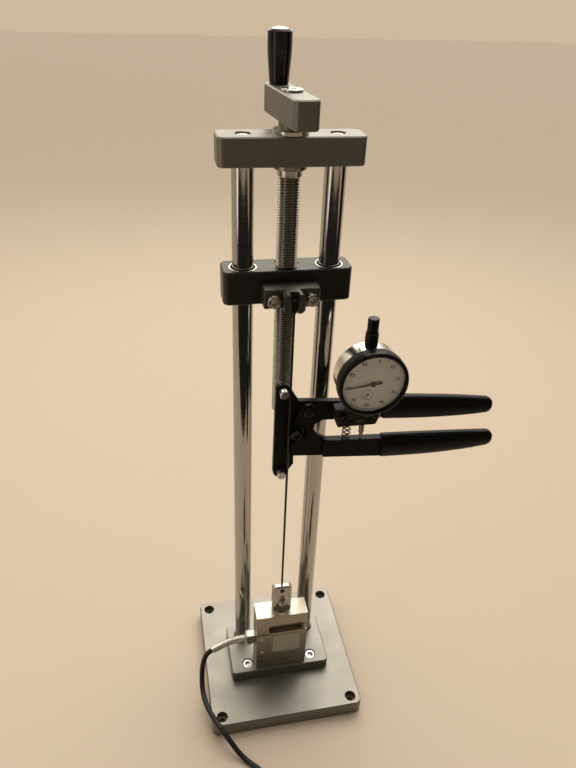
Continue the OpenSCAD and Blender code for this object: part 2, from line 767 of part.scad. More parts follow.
module spoke() {
    straight = nipple_seat_z + 1 - hook_z - hook_r;
    color("black") translate([0, spoke_y, hook_z]) {
        translate([0, 0, hook_r]) cylinder(d = spoke_d, h = straight);
        // a quarter turn forward to the head
        translate([0, -hook_r, hook_r]) rotate([90, 90, 90]) rotate_extrude(angle = 90)
            translate([hook_r, 0]) circle(d = spoke_d);
        translate([0, -hook_r, 0]) rotate([90, 0, 0]) cylinder(d = hook_head_d, h = hook_head_t);
    }
}

module spoke_nipple() {
    seat = nipple_seat_z + nipple_lift;
    color("black") translate([0, spoke_y, seat]) difference() {
        union() {
            cylinder(d = nipple_head_d, h = nipple_head_h - 0.6);
            translate([0, 0, nipple_head_h - 0.6])
                cylinder(d1 = nipple_head_d, d2 = nipple_head_d - 1.2, h = 0.6);
            translate([0, 0, -nipple_len]) cylinder(d = nipple_d, h = nipple_len);
        }
        translate([0, 0, -nipple_len - cut])
            cylinder(d = spoke_d + 2 * fit, h = nipple_len + cut + 1 + fit);
        translate([-nipple_head_d, -0.4, nipple_head_h - 0.6]) cube([2 * nipple_head_d, 0.8, 1]);
    }
}

// ---------- cable ----------

module gland_body() {
    color("dimgray") translate([-cell_w / 2, spoke_y, gland_z]) rotate([0, -90, 0]) difference() {
        union() {
            rotate([0, 0, 30]) cylinder(d = gland_flats / cos(30), h = gland_len, $fn = 6);
            translate([0, 0, -gland_thread_len]) cylinder(d = gland_thread_d, h = gland_thread_len);
        }
        translate([0, 0, -gland_thread_len - cut])
            cylinder(d = gland_bore_d, h = gland_thread_len + gland_len + 2 * cut);
    }
}

module gland_nut() {
    color("silver") translate([-cell_w / 2 - gland_len, spoke_y, gland_z]) rotate([0, -90, 0])
        difference() {
            intersection() {
                rotate([0, 0, 30]) cylinder(d = gland_nut_flats / cos(30), h = gland_nut_len, $fn = 6);
                // round chamfer on the hexagon's outer corners
                union() {
                    cylinder(d = 2 * gland_nut_flats, h = gland_nut_len - 1);
                    translate([0, 0, gland_nut_len - 1])
                        cylinder(d1 = gland_nut_flats + 2, d2 = gland_nut_flats - 1, h = 1);
                }
            }
            translate([0, 0, -cut]) cylinder(d = gland_bore_d, h = gland_nut_len + 2 * cut);
        }
}

// Point at a share t of a route of straight steps
function on_route(route, s, i = 0) =
    let (step = norm(route[i + 1] - route[i]))
    s <= step || i >= len(route) - 2
        ? route[i] + (route[i + 1] - route[i]) * min(1, s / step)
        : on_route(route, s - step, i + 1);

module strain_relief() {
    length = total(lengths(relief_route));
    straight = relief_d;
    ribbed = length - 2 * straight;
    step = ribbed / relief_ribs;
    stations = concat([0, straight * 0.5],
        [for (k = [0 : relief_ribs - 1]) each [straight + k * step, straight + (k + 0.5) * step]],
        [length - straight, length - straight * 0.5, length]);
    points = [for (s = stations) on_route(relief_route, s)];
    last = len(stations) - 1;
    radii = [for (i = [0 : last]) let (
        taper = along(relief_d, relief_end_d, stations[i] / length) / 2,
        groove = i > 1 && i < last - 2 && i % 2 == 1 ? 0.35 : 0)
        taper - groove];
    color("silver") swept_tube(points, radii, 8);
}

module cable_lead() {
    color("black") swept_tube(lead_route, [for (p = lead_route) cable_d / 2], cable_sides);
}

// Middle line of the coil after t turns: in over one layer, up, out over the next
function coil_point(t) = let (
    climb = min(1, max(0, (t - coil_loops) / 0.5)),
    r = t < coil_loops ? coil_outer_r - coil_pitch * t
        : t < coil_loops + 0.5 ? coil_inner_r
        : coil_inner_r + coil_pitch * (t - coil_loops - 0.5),
    a = half_turn + 360 * t)
    [coil_centre[0] + r * cos(a), coil_centre[1] + r * sin(a), coil_start[2] + coil_layer * climb];

module cable_coil() {
    steps = ceil(coil_turns * coil_rings);
    wound = [for (i = [1 : steps - 1]) coil_point(i * coil_turns / steps)];
    exit_point = coil_point(coil_turns);
    points = concat([coil_start], [coil_start + [0, -cable_d * 0.6, 0]],
        [for (i = [2 : len(wound) - 1]) wound[i]],
        [exit_point, [tail_route[0][0] - cable_d, tail_route[0][1], tail_route[0][2]], tail_route[0]]);
    echo(least_gap = coil_gap(), coil_length = total(lengths(points)));
    color("black") swept_tube(points, [for (p = points) cable_d / 2], coil_sides);
}

// Least distance between points of the coil more than half a turn apart, less the cable
function coil_gap() = let (
    n = ceil(coil_turns * coil_rings),
    p = [for (i = [0 : n]) coil_point(i * coil_turns / n)],
    away = floor(coil_rings / 2))
    min([for (i = [0 : n - away]) min([for (j = [i + away : n]) norm(p[i] - p[j])])]) - cable_d;

module cable_tail() {
    color("black") swept_tube(tail_route, [for (p = tail_route) cable_d / 2], cable_sides);
}

module cable_plug() {
    color("dimgray") translate(plug_start) rotate([0, 90, 0]) {
        cylinder(d1 = cable_d + 3, d2 = plug_d - 3, h = 12);
        translate([0, 0, 12]) cylinder(d = plug_d - 3, h = plug_len - 22);
        translate([0, 0, plug_len - 10]) difference() {
            cylinder(d = plug_d - 5, h = 10);
            translate([0, 0, 4]) cylinder(d = plug_d - 7, h = 10);
        }
    }
}

module plug_ring() {
    color("silver") translate(plug_start + [plug_len - 12, 0, 0]) rotate([0, 90, 0]) difference() {
        cylinder(d = plug_d, h = 14);
        translate([0, 0, -cut]) cylinder(d = plug_d - 3 + 0.2, h = 3.2);
        translate([0, 0, 2]) cylinder(d = plug_d - 5 + 0.2, h = 14);
    }
}

// ---------- crosshead ----------

module crosshead() {
    color("black") difference() {
        translate([0, column_y, cross_z])
            bevelled_plate(cross_w, beam_d, cross_h, beam_corner_r, plate_bevel);
        at_columns() translate([0, 0, cross_z - cut])
            cylinder(d = bush_d + 2 * fit, h = cross_h + 2 * cut);
        at_screw() translate([0, 0, cross_z - cut])
            cylinder(d = nut_d + 2 * fit, h = cross_h + 2 * cut);
        at_bracket_screws() screw_hole(m6, bracket_screw_len, 0.01);
    }
}

module bush() {
    color("lightgray") translate([0, column_y, cross_z]) difference() {
        translate([0, 0, 0.4]) cylinder(d = bush_d, h = cross_h - 0.8);
        cylinder(d = column_d + 2 * fit, h = cross_h + cut);
        translate([0, 0, cross_h - 1.6]) cylinder(d1 = column_d, d2 = column_d + 3, h = 1.5);
        translate([0, 0, 0.1]) cylinder(d1 = column_d + 3, d2 = column_d, h = 1.5);
    }
}

module bush_left() { translate([-column_x, 0, 0]) bush(); }
module bush_right() { translate([column_x, 0, 0]) bush(); }

module lead_nut() {
    color("darkgray") at_screw() translate([0, 0, cross_z]) difference() {
        translate([0, 0, 0.4]) cylinder(d = nut_d, h = cross_h - 0.8);
        translate([0, 0, -cut]) cylinder(d = screw_d + 2 * fit, h = cross_h + 2 * cut);
    }
}

module at_bracket_screws() {
    for (side = [-1, 1])
        translate([side * bracket_screw_pitch / 2, bracket_front, bracket_screw_z])
            rotate([90, 0, 0]) children();
}

module spoke_bracket() {
    corner = 2.2;
    color("darkslategray") difference() {
        union() {
            translate([0, (beam_front + bracket_front) / 2, bracket_z])
                bevelled_plate(bracket_w, bracket_ear_t, bracket_h, 0.8, 0.5);
            // nose with cut corners, seen from the front
            translate([0, bracket_front + cut, bracket_z]) rotate([90, 0, 0])
                linear_extrude(bracket_front + cut - nose_front)
                    polygon([[-nose_w / 2, corner], [corner - nose_w / 2, 0], [nose_w / 2 - corner, 0],
                        [nose_w / 2, corner], [nose_w / 2, bracket_h - corner],
                        [nose_w / 2 - corner, bracket_h], [corner - nose_w / 2, bracket_h],
                        [-nose_w / 2, bracket_h - corner]]);
        }
        translate([-nose_slot_w / 2, nose_front - cut, bracket_z - cut])
            cube([nose_slot_w, nose_reach + cut + nose_slot_w / 2, bracket_h + 2 * cut]);
        translate([0, spoke_y, nipple_seat_z])
            cylinder(d = nipple_seat_d, h = nipple_seat_depth + cut);
        at_bracket_screws() screw_hole(m6, bracket_screw_len, 0.01);
    }
}

module bracket_screws() {
    color("silver") at_bracket_screws() cap_screw(m6, bracket_screw_len);
}

// ---------- lead screw and crank ----------

module at_crank() {
    translate([0, column_y, 0]) rotate([0, 0, crank_angle]) children();
}

neck_top = crank_z + crank_h - 5;

module lead_screw() {
    color("darkgray") at_screw() difference() {
        union() {
            translate([0, 0, screw_foot]) cylinder(d1 = screw_d - 3, d2 = screw_d, h = 1.5);
            translate([0, 0, screw_foot + 1.5]) cylinder(d = screw_d, h = screw_len - 1.5);
            translate([0, 0, screw_top]) cylinder(d = screw_neck_d, h = neck_top - screw_top);
        }
        translate([0, 0, crank_top - 18]) cylinder(d = m6[0] + 2 * fit, h = 30);
    }
}

module screw_collar() {
    color("silver") at_screw() translate([0, 0, screw_top]) difference() {
        union() {
            cylinder(d1 = collar_d - 2, d2 = collar_d, h = 1);
            translate([0, 0, 1]) cylinder(d = collar_d, h = collar_h - 1.1);
        }
        translate([0, 0, -cut]) cylinder(d = screw_neck_d + 2 * fit, h = collar_h + 2 * cut);
    }
}

module thrust_washer() {
    color("silver") at_screw() translate([0, 0, top_face + washer_lift]) difference() {
        cylinder(d = washer_d, h = washer_t);
        translate([0, 0, -cut]) cylinder(d = screw_neck_d + 2 * fit, h = washer_t + 2 * cut);
    }
}

module crank_arm() {
    middle = crank_len / 2 - crank_short_end;
    color("gray") at_crank() difference() {
        union() {
            translate([middle, 0, crank_z])
                bevelled_plate(crank_len, crank_w, crank_h, 4.5, plate_bevel);
            translate([0, 0, washer_top]) cylinder(d = crank_hub_d, h = crank_hub_h + cut);
        }
        translate([0, 0, washer_top - cut])
            cylinder(d = screw_neck_d + 2 * fit, h = neck_top - washer_top + cut);
        translate([0, 0, washer_top]) cylinder(d = m6[0] + 2 * fit, h = crank_h + 20);
        translate([crank_radius, 0, crank_top - 14])
            cylinder(d = grip_spindle_d + 2 * fit, h = 14 + cut);
    }
}

module crank_screw() {
    color("white") at_crank() translate([0, 0, crank_top]) {
        difference() {
            union() {
                translate([0, 0, -crank_screw_len]) cylinder(d = m6[0], h = crank_screw_len + cut);
                cylinder(d = crank_disc_d, h = crank_disc_t - 0.3);
                translate([0, 0, crank_disc_t - 0.3])
                    cylinder(d1 = crank_disc_d, d2 = crank_disc_d - 0.6, h = 0.3);
                // countersunk head, a little proud of its disc
                cylinder(d1 = m6[1], d2 = m6[1] - 0.8, h = crank_disc_t + 0.3);
            }
            translate([0, 0, -cut]) cylinder(d = m4[3] + 0.6, h = crank_disc_t + 2 * cut, $fn = 6);
        }
    }
}

grip_z = crank_top + 0.3;
grip_top = grip_z + grip_h;

module grip_spindle() {
    head_d = 12;
    color("white") at_crank() translate([crank_radius, 0, 0]) {
        translate([0, 0, crank_top - 13]) cylinder(d = grip_spindle_d, h = grip_top - crank_top + 11.5);
        // domed head on top of the grip
        translate([0, 0, grip_top - 2 + 0.1]) cylinder(d = head_d, h = 2);
        translate([0, 0, grip_top + 0.1]) rotate_extrude() intersection() {
            translate([0, -14.6]) circle(r = 15.8);
            square([head_d / 2, 3]);
        }
    }
}

module crank_grip() {
    waist = grip_z + grip_h * 0.52;
    edge = 1.2;
    color("black") at_crank() translate([crank_radius, 0, 0]) rotate_extrude() difference() {
        union() {
            polygon([[0, grip_z], [grip_foot_d / 2, grip_z], [grip_d / 2 - 0.2, waist],
                [grip_d / 2, waist + 4], [grip_d / 2, grip_top - edge],
                [grip_d / 2 - edge, grip_top], [0, grip_top]]);
        }
        square([grip_spindle_d / 2 + fit, grip_top + cut]);
        translate([0, grip_top - 2]) square([6.3, 4]);
    }
}

// ---------- meter ----------

module at_meter() {
    translate([0, spoke_y, meter_z]) rotate([90, 0, 0]) children();
}

upper_grip_y = 16.6;    // where the grips' middle lines start
lower_grip_y = -19.3;

// Height of a grip's middle line at x, for the upper and the lower handle
function upper_mid(x) = upper_grip_y - 0.086 * (x - handle_grip_start);
function lower_mid(x) = lower_grip_y - 0.05 * (x - handle_grip_start);

grip_taper_from = handle_len - 30;
arm_end = handle_len - 18;

// Frame plate: jaw bar, body and upper arm in one piece
module frame_outline() {
    jaw_r = jaw_end_d / 2;
    foot_r = jaw_foot_d / 2;
    arm_in_grip = handle_grip_h / 2 - grip_wall;
    translate([pin_x, pin_y]) circle(r = jaw_r);
    translate([pin_x, -pin_y]) circle(r = foot_r);
    polygon([[pin_x - jaw_r, pin_y], [pin_x - foot_r, -pin_y], [pin_x + foot_r, -pin_y],
        [5.9, -pin_y + 7.1], [5.6, -24], [13, -19], [19, -9], [21, 2.4], [23.4, 6.4],
        [29.1, 9.4], [37.9, 9], [handle_grip_start, 6.8],
        [handle_grip_start, upper_mid(handle_grip_start) - arm_in_grip],
        [arm_end, upper_mid(arm_end) - arm_in_grip + 1],
        [arm_end, upper_mid(arm_end) + arm_in_grip - 1],
        [handle_grip_start, upper_mid(handle_grip_start) + arm_in_grip],
        [handle_grip_start, 24], [41.7, 26.8], [7.8, 29.9], [pin_x + jaw_r, pin_y + 1.8]]);
}

module meter_frame() {
    color("black") at_meter() difference() {
        translate([0, 0, plate_back]) linear_extrude(frame_t) frame_outline();
        at_jaw_pins() translate([0, 0, plate_back - cut])
            cylinder(d = pin_shank_d + 2 * fit, h = frame_t + 2 * cut);
        translate([pivot[0], pivot[1], plate_back - cut])
            cylinder(d = pivot_d + 2 * fit, h = frame_t + 2 * cut);
        at_clamp_bolts() screw_hole(m3, clamp_bolt_len, 0.01);
    }
}

// A grip: an oval sleeve over an arm, rounded at its tip
module grip_shape(tip_x, upper, thickness_mid) {
    h = handle_grip_h;
    stations = [handle_grip_start, (handle_grip_start + grip_taper_from) / 2, grip_taper_from];
    heights = [h, h, h - 4];
    hull() {
        for (i = [0 : 2]) translate([stations[i], upper ? upper_mid(stations[i])
            : lower_mid(stations[i]), thickness_mid]) grip_slice(heights[i], handle_grip_t);
        translate([tip_x - 7.5, upper ? upper_mid(tip_x) + 0.9 : lower_mid(tip_x) + 2.4, thickness_mid])
            scale([1, 1.02, 0.66]) sphere(r = 7.5, $fn = 32);
    }
}

// A thin oval slice square to the handle
module grip_slice(h, t) {
    rotate([0, 90, 0]) linear_extrude(0.6) scale([t / h, 1]) circle(d = h, $fn = 32);
}

module upper_grip() {
    arm_in_grip = handle_grip_h / 2 - grip_wall + grip_slot_gap;
    color("black") at_meter() difference() {
        grip_shape(handle_len, true, frame_mid);
        translate([0, 0, plate_back - grip_slot_gap]) linear_extrude(frame_t + 2 * grip_slot_gap)
            polygon([[handle_grip_start - cut, upper_mid(handle_grip_start) - arm_in_grip],
                [arm_end + grip_slot_gap, upper_mid(arm_end) - arm_in_grip + 1],
                [arm_end + grip_slot_gap, upper_mid(arm_end) + arm_in_grip - 1],
                [handle_grip_start - cut, upper_mid(handle_grip_start) + arm_in_grip]]);
    }
}

pin_shank_d = 5;

module at_jaw_pins() {
    for (side = [-1, 1]) translate([pin_x, side * pin_y, 0]) children();
}

module jaw_pin() {
    color("silver") {
        translate([0, 0, plate_front]) cylinder(d = jaw_pin_d, h = jaw_pin_len - 0.6);
        translate([0, 0, plate_front + jaw_pin_len - 0.6])
            cylinder(d1 = jaw_pin_d, d2 = jaw_pin_d - 1.2, h = 0.6);
        translate([0, 0, plate_back]) cylinder(d = pin_shank_d, h = frame_t);
        translate([0, 0, plate_back - 2.4]) cylinder(d = 8.4, h = 2.4);
    }
}

module jaw_pin_top() { at_meter() translate([pin_x, pin_y, 0]) jaw_pin(); }
module jaw_pin_bottom() { at_meter() translate([pin_x, -pin_y, 0]) jaw_pin(); }

module lever_pin() {
    color("dimgray") at_meter() translate([pivot[0], pivot[1], 0]) {
        translate([0, 0, plate_back]) cylinder(d = pivot_d, h = lever_front - plate_back + 0.1);
        translate([0, 0, plate_back - 1.8]) cylinder(d = pivot_d + 4, h = 1.8);
        translate([0, 0, lever_front + 0.1]) {
            cylinder(d = pivot_d + 2.4, h = 1);
            translate([0, 0, 1]) cylinder(d1 = pivot_d + 2.4, d2 = pivot_d - 1, h = 1.1);
        }
    }
}

// Clamp block that holds the dial's stem in front of the upper arm
clamp_bolt_len = clamp_front - plate_front + 3.6;

module at_clamp_bolts() {
    for (p = [[43.5, 18.5], [69.4, 19.6]])
        translate([p[0], p[1], clamp_front]) children();
}

set_screw_y = 12.6;
set_screw_d = 5;
clamp_right = 73;

module dial_clamp() {
    color("dimgray") at_meter() difference() {
        translate([0, 0, plate_front]) linear_extrude(clamp_front - plate_front)
            polygon([[38.4, clamp_bottom + 1], [39.2, clamp_bottom], [70.2, clamp_bottom],
                [71.4, clamp_bottom + 1], [clamp_right, clamp_bottom + 6.4], [clamp_right, clamp_top],
                [36, clamp_top], [36, clamp_bottom + 8]]);
        translate([dial_x, clamp_bottom - cut, dial_z]) rotate([-90, 0, 0])
            cylinder(d = stem_d + 2 * fit, h = clamp_top - clamp_bottom + 2 * cut);
        translate([spring_x, clamp_bottom - cut, spring_z]) rotate([-90, 0, 0])
            cylinder(d = spring_d + 0.8, h = 3 + cut);
        translate([dial_x, set_screw_y, dial_z]) rotate([0, 90, 0])
            cylinder(d = set_screw_d + 2 * fit, h = clamp_right - dial_x + cut);
        at_clamp_bolts() screw_hole(m3, clamp_bolt_len, 0.01);
    }
}

module clamp_screws() {
    color("silver") at_meter() {
        at_clamp_bolts() cap_screw(m3, clamp_bolt_len);
        // set screw that presses on the stem
        translate([dial_x + stem_d / 2 + 0.05, set_screw_y, dial_z]) rotate([0, 90, 0])
            difference() {
                cylinder(d = set_screw_d, h = clamp_right + 2.8 - dial_x - stem_d / 2);
                translate([0, 0, clamp_right + 1 - dial_x - stem_d / 2])
                    cylinder(d = 2.9, h = 4, $fn = 6);
            }
    }
}

// ---------- lever ----------

module lever_outline() {
    arm_in_grip = handle_grip_h / 2 - grip_wall;
    end_x = arm_end + lower_grip_extra;
    translate(pivot) circle(r = pivot_head_r);
    polygon([[8.5, 23.2], [3.2, 12], [2.4, -19], [3.6, -21.8], [handle_grip_start, -28.8],
        [handle_grip_start, lower_mid(handle_grip_start) - arm_in_grip],
        [end_x, lower_mid(end_x) - arm_in_grip + 1], [end_x, lower_mid(end_x) + arm_in_grip - 1],
        [handle_grip_start, lower_mid(handle_grip_start) + arm_in_grip],
        [handle_grip_start, lever_top(handle_grip_start)], [33, lever_top(33)],
        [30.3, -6.1], [24, -2.1], [20.3, 3.5], [20, 8], [22.4, 17.6]]);
}

module lever() {
    color("black") at_meter() difference() {
        union() {
            translate([0, 0, lever_back]) linear_extrude(lever_head_t) lever_outline();
            // thicker arm beside the head
            translate([0, 0, lever_back]) linear_extrude(lever_arm_t) difference() {
                lever_outline();
                translate([-handle_len, -handle_len]) square([handle_len + lever_split, 2 * handle_len]);
            }
        }
        translate([pivot[0], pivot[1], lever_back - cut])
            cylinder(d = pivot_d + 2 * fit, h = lever_arm_t + 2 * cut);
        // room for the roller, with a tongue left behind it
        translate([roller_at[0], roller_at[1], roller_back - tongue_gap])
            cylinder(r = roller_room, h = lever_arm_t + cut);
        translate([roller_at[0], roller_at[1], lever_back - cut])
            cylinder(d = roller_axle_d + 2 * fit, h = lever_arm_t + 2 * cut);
    }
}

module roller_axle() {
    head_z = roller_front + 0.3;
    color("dimgray") at_meter() translate([roller_at[0], roller_at[1], 0]) difference() {
        union() {
            translate([0, 0, lever_back]) cylinder(d = roller_axle_d, h = head_z - lever_back + 0.01);
            translate([0, 0, head_z]) cylinder(d1 = roller_d - 0.6, d2 = roller_d - 2, h = 1.2);
        }
        translate([0, 0, head_z - 0.6]) cylinder(d = 3.5, h = 3, $fn = 6);
    }
}

module contact_roller() {
    bore_r = roller_axle_d / 2 + fit;
    height = roller_front - roller_back;
    color("black") at_meter() translate([roller_at[0], roller_at[1], roller_back])
        rotate_extrude() polygon([[bore_r, 0], [roller_flange_d / 2, 0],
            [roller_flange_d / 2, roller_flange_t], [roller_d / 2, roller_flange_t],
            [roller_d / 2, height - 0.5], [roller_d / 2 - 0.5, height], [bore_r, height]]);
}

module lower_grip() {
    arm_in_grip = handle_grip_h / 2 - grip_wall + grip_slot_gap;
    end_x = arm_end + lower_grip_extra + grip_slot_gap;
    color("black") at_meter() difference() {
        grip_shape(handle_len + lower_grip_extra, false, lever_mid);
        translate([0, 0, lever_back - grip_slot_gap])
            linear_extrude(lever_arm_t + 2 * grip_slot_gap)
                polygon([[handle_grip_start - cut, lower_mid(handle_grip_start) - arm_in_grip],
                    [end_x, lower_mid(end_x) - arm_in_grip + 1],
                    [end_x, lower_mid(end_x) + arm_in_grip - 1],
                    [handle_grip_start - cut, lower_mid(handle_grip_start) + arm_in_grip]]);
    }
}

// Coil spring between the clamp block and the lever, closed turns at both ends
module return_spring() {
    rings = 8;
    steps = spring_turns * rings;
    r = (spring_d - spring_wire) / 2;
    rise = spring_head - spring_foot - spring_wire;
    points = [for (i = [0 : steps]) let (
        t = i / steps,
        a = 360 * spring_turns * t,
        end = 0.75 / spring_turns,
        y = t < end ? spring_wire * 1.25 * t / end * 0.75
            : t > 1 - end ? rise - spring_wire * 1.25 * (1 - t) / end * 0.75
            : along(spring_wire * 0.94, rise - spring_wire * 0.94, (t - end) / (1 - 2 * end)))
        [r * cos(a), r * sin(a), y]];
    color("silver") at_meter() translate([spring_x, spring_foot + spring_wire / 2, spring_z])
        rotate([-90, 0, 0]) swept_tube(points, [for (p = points) spring_wire / 2], 6);
}

// ---------- dial ----------

module at_dial() {
    at_meter() translate([dial_x, dial_rise, 0]) children();
}

module dial_case() {
    boss_front = face_z - 0.5;
    color("silver") at_dial() difference() {
        union() {
            rotate_extrude() polygon([[0, case_back], [case_d / 2 - 2, case_back],
                [case_d / 2, case_back + 2], [case_d / 2, case_front],
                [centre_disc_d / 2 - 0.2, case_front], [centre_disc_d / 2 - 0.2, boss_front],
                [0, boss_front]]);
            translate([0, 0, dial_z]) rotate([90, 0, 0])
                cylinder(d = stem_d, h = dial_rise - clamp_bottom + 0.6);
            translate([0, 0, dial_z]) rotate([-90, 0, 0])
                cylinder(d = stem_d, h = case_d / 2 + guard_stub_h);
        }
        translate([0, clamp_bottom - dial_rise - 4, dial_z]) rotate([-90, 0, 0])
            cylinder(d = spindle_d + 2 * fit, h = dial_rise + case_d / 2 + guard_stub_h + 10);
        translate([0, 0, boss_front - 6]) cylinder(d = 1.6 + 2 * fit, h = 7);
        translate([counter_at[0], counter_at[1], boss_front - 4])
            cylinder(d = 1 + 2 * fit, h = 5);
    }
}

// Black tube over the short neck on top of the case
module spindle_guard() {
    color("black") at_meter() translate([dial_x, case_top, dial_z]) rotate([-90, 0, 0]) difference() {
        union() {
            cylinder(d = guard_d, h = guard_h - 0.5);
            translate([0, 0, guard_h - 0.5]) cylinder(d1 = guard_d, d2 = guard_d - 1, h = 0.5);
        }
        translate([0, 0, -cut]) cylinder(d = spindle_d + 2 * fit, h = guard_h + 2 * cut);
        translate([0, 0, -cut]) cylinder(d = stem_d + 2 * fit, h = guard_stub_h + cut);
    }
}

module dial_centre() {
    color("white") at_dial() translate([0, 0, face_z - 0.5]) difference() {
        cylinder(d = centre_disc_d, h = 0.5);
        translate([0, 0, -cut]) cylinder(d = 2.4, h = 3);
        translate([counter_at[0], counter_at[1], -cut]) cylinder(d = 1.6, h = 3);
    }
}

module dial_spindle() {
    top = case_top + guard_h + 4;
    color("silver") at_meter() translate([dial_x, 0, dial_z]) rotate([-90, 0, 0]) {
        translate([0, 0, tip_y + 6]) cylinder(d = spindle_d, h = top - tip_y - 6);
        translate([0, 0, tip_y + 1]) cylinder(d = tip_d, h = 5);
        // rounded tip that bears on the lever
        translate([0, 0, tip_y]) rotate_extrude() intersection() {
            translate([0, tip_d / 2]) circle(d = tip_d);
            square([tip_d, 1.2]);
        }
    }
}

module spindle_cap() {
    foot = case_top + guard_h + 0.3;
    color("black") at_meter() translate([dial_x, foot, dial_z]) rotate([-90, 0, 0]) difference() {
        union() {
            cylinder(d = cap_d, h = cap_h - 0.6);
            translate([0, 0, cap_h - 0.6]) cylinder(d1 = cap_d, d2 = cap_d - 1.2, h = 0.6);
        }
        translate([0, 0, -cut]) cylinder(d = spindle_d + 2 * fit, h = cut + 3.8);
    }
}

// A flat needle that points up, with a tail and a hub on its arbor
module needle_shape(reach, tail, hub_d, arbor_d, arbor_len, width, thickness) {
    linear_extrude(thickness) polygon([[-width * 0.75, -tail], [width * 0.75, -tail],
        [width * 0.5, 0], [width * 0.16, reach], [-width * 0.16, reach], [-width * 0.5, 0]]);
    cylinder(d = hub_d, h = thickness + 0.3);
    translate([0, 0, -arbor_len]) cylinder(d = arbor_d, h = arbor_len + 0.1);
}

module main_needle() {
    color("black") at_dial() translate([0, 0, face_z + 0.7]) rotate([0, 0, needle_turn])
        needle_shape(needle_len, 7, 4.6, 1.6, 4.6, 1.5, 0.4);
}

module counter_needle() {
    color("black") at_dial() translate([counter_at[0], counter_at[1], face_z + 0.2])
        rotate([0, 0, counter_turn]) needle_shape(counter_len, 1.4, 1.5, 1, 2.4, 0.8, 0.2);
}

module dial_bezel() {
    outer = bezel_d / 2;
    skirt = case_d / 2 + 2 * fit;
    color("black") at_dial() rotate_extrude() polygon([[skirt, bezel_back], [outer - 0.5, bezel_back],
        [outer, bezel_back + 0.5], [outer, bezel_front - 1.4], [outer - 1.2, bezel_front],
        [bezel_lip_r + 0.4, bezel_front], [bezel_lip_r, bezel_front - 0.5],
        [bezel_lip_r, crystal_back + crystal_t], [crystal_r, crystal_back + crystal_t],
        [crystal_r, crystal_back], [bezel_lip_r + 0.3, crystal_back], [bezel_lip_r + 0.3, face_z],
        [skirt, face_z]]);
}

module scale_ring() {
    color("white") at_dial() rotate([0, 0, zero_turn]) translate([0, 0, face_z - 0.5]) difference() {
        cylinder(r = case_d / 2 - 0.3, h = 0.5);
        translate([0, 0, -cut]) cylinder(d = centre_disc_d + 0.3, h = 3);
        // key notch that holds the ring in the bezel, at its zero
        translate([0, case_d / 2 - 0.3, 0]) cube([1, 0.8, 4], center = true);
    }
}

module dial_crystal() {
    color("white", 0.4) at_dial() translate([0, 0, crystal_back]) {
        cylinder(r = crystal_r - 0.05, h = crystal_t - 0.05);
        translate([0, 0, crystal_t - 0.06]) cylinder(r1 = bezel_lip_r - 0.2, r2 = bezel_lip_r - 3, h = 0.8);
    }
}

base_plate();
riser_plate();
riser_screws();
column_left();
column_right();
column_foot_bolts();
column_top_screws();
top_plate();
screw_bearing();
load_cell();
load_cell_bolt();
gauge_cover();
gauge_cover_screws();
spoke_anchor();
anchor_screw();
spoke();
spoke_nipple();
gland_body();
gland_nut();
strain_relief();
cable_lead();
cable_coil();
cable_tail();
cable_plug();
plug_ring();
crosshead();
bush_left();
bush_right();
lead_nut();
spoke_bracket();
bracket_screws();
lead_screw();
screw_collar();
thrust_washer();
crank_arm();
crank_screw();
grip_spindle();
crank_grip();
meter_frame();
upper_grip();
jaw_pin_top();
jaw_pin_bottom();
lever_pin();
dial_clamp();
clamp_screws();
dial_case();
spindle_guard();
dial_centre();
lever();
roller_axle();
contact_roller();
lower_grip();
return_spring();
dial_spindle();
spindle_cap();
main_needle();
counter_needle();
dial_bezel();
scale_ring();
dial_crystal();
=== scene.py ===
# %% [markdown]
# # Spoke tension meter on its calibration stand
# A hand meter with a dial is clipped to a spoke, and the stand pulls that spoke against
# a load cell, so that the meter can be read against a known pull. The CAD frame brings
# every solid in its place. This lesson dresses them: the camera and the cable first, then
# the finishes, then piece by piece what a plain solid can't show.

# %% The CAD frame
import bmesh
import bpy
import math
from mathutils import Matrix, Vector


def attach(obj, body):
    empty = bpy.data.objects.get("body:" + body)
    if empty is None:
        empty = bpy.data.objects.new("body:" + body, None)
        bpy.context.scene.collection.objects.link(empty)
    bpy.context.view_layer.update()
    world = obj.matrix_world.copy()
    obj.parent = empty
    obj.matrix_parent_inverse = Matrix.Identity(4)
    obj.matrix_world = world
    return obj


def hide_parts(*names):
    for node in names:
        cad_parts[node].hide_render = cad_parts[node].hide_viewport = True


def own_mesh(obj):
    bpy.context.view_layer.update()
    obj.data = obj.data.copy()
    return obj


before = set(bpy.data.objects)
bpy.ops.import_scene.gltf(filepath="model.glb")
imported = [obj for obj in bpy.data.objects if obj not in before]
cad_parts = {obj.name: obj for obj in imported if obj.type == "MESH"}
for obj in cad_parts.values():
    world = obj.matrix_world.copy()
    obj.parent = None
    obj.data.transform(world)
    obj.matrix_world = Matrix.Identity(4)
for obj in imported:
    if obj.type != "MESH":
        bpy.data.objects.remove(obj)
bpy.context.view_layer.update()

MM = 0.001

# %% [markdown]
# ## Camera
# The photograph was solved for its camera: where it stood, how far it looked down, and
# its lens. A matrix is built from that place and three turns, read from right to left:
# roll, then tilt, then heading. Depth of field stays off, so every view is sharp.

# %% Camera
def turned(axis, degrees):
    return Matrix.Rotation(math.radians(degrees), 4, axis)

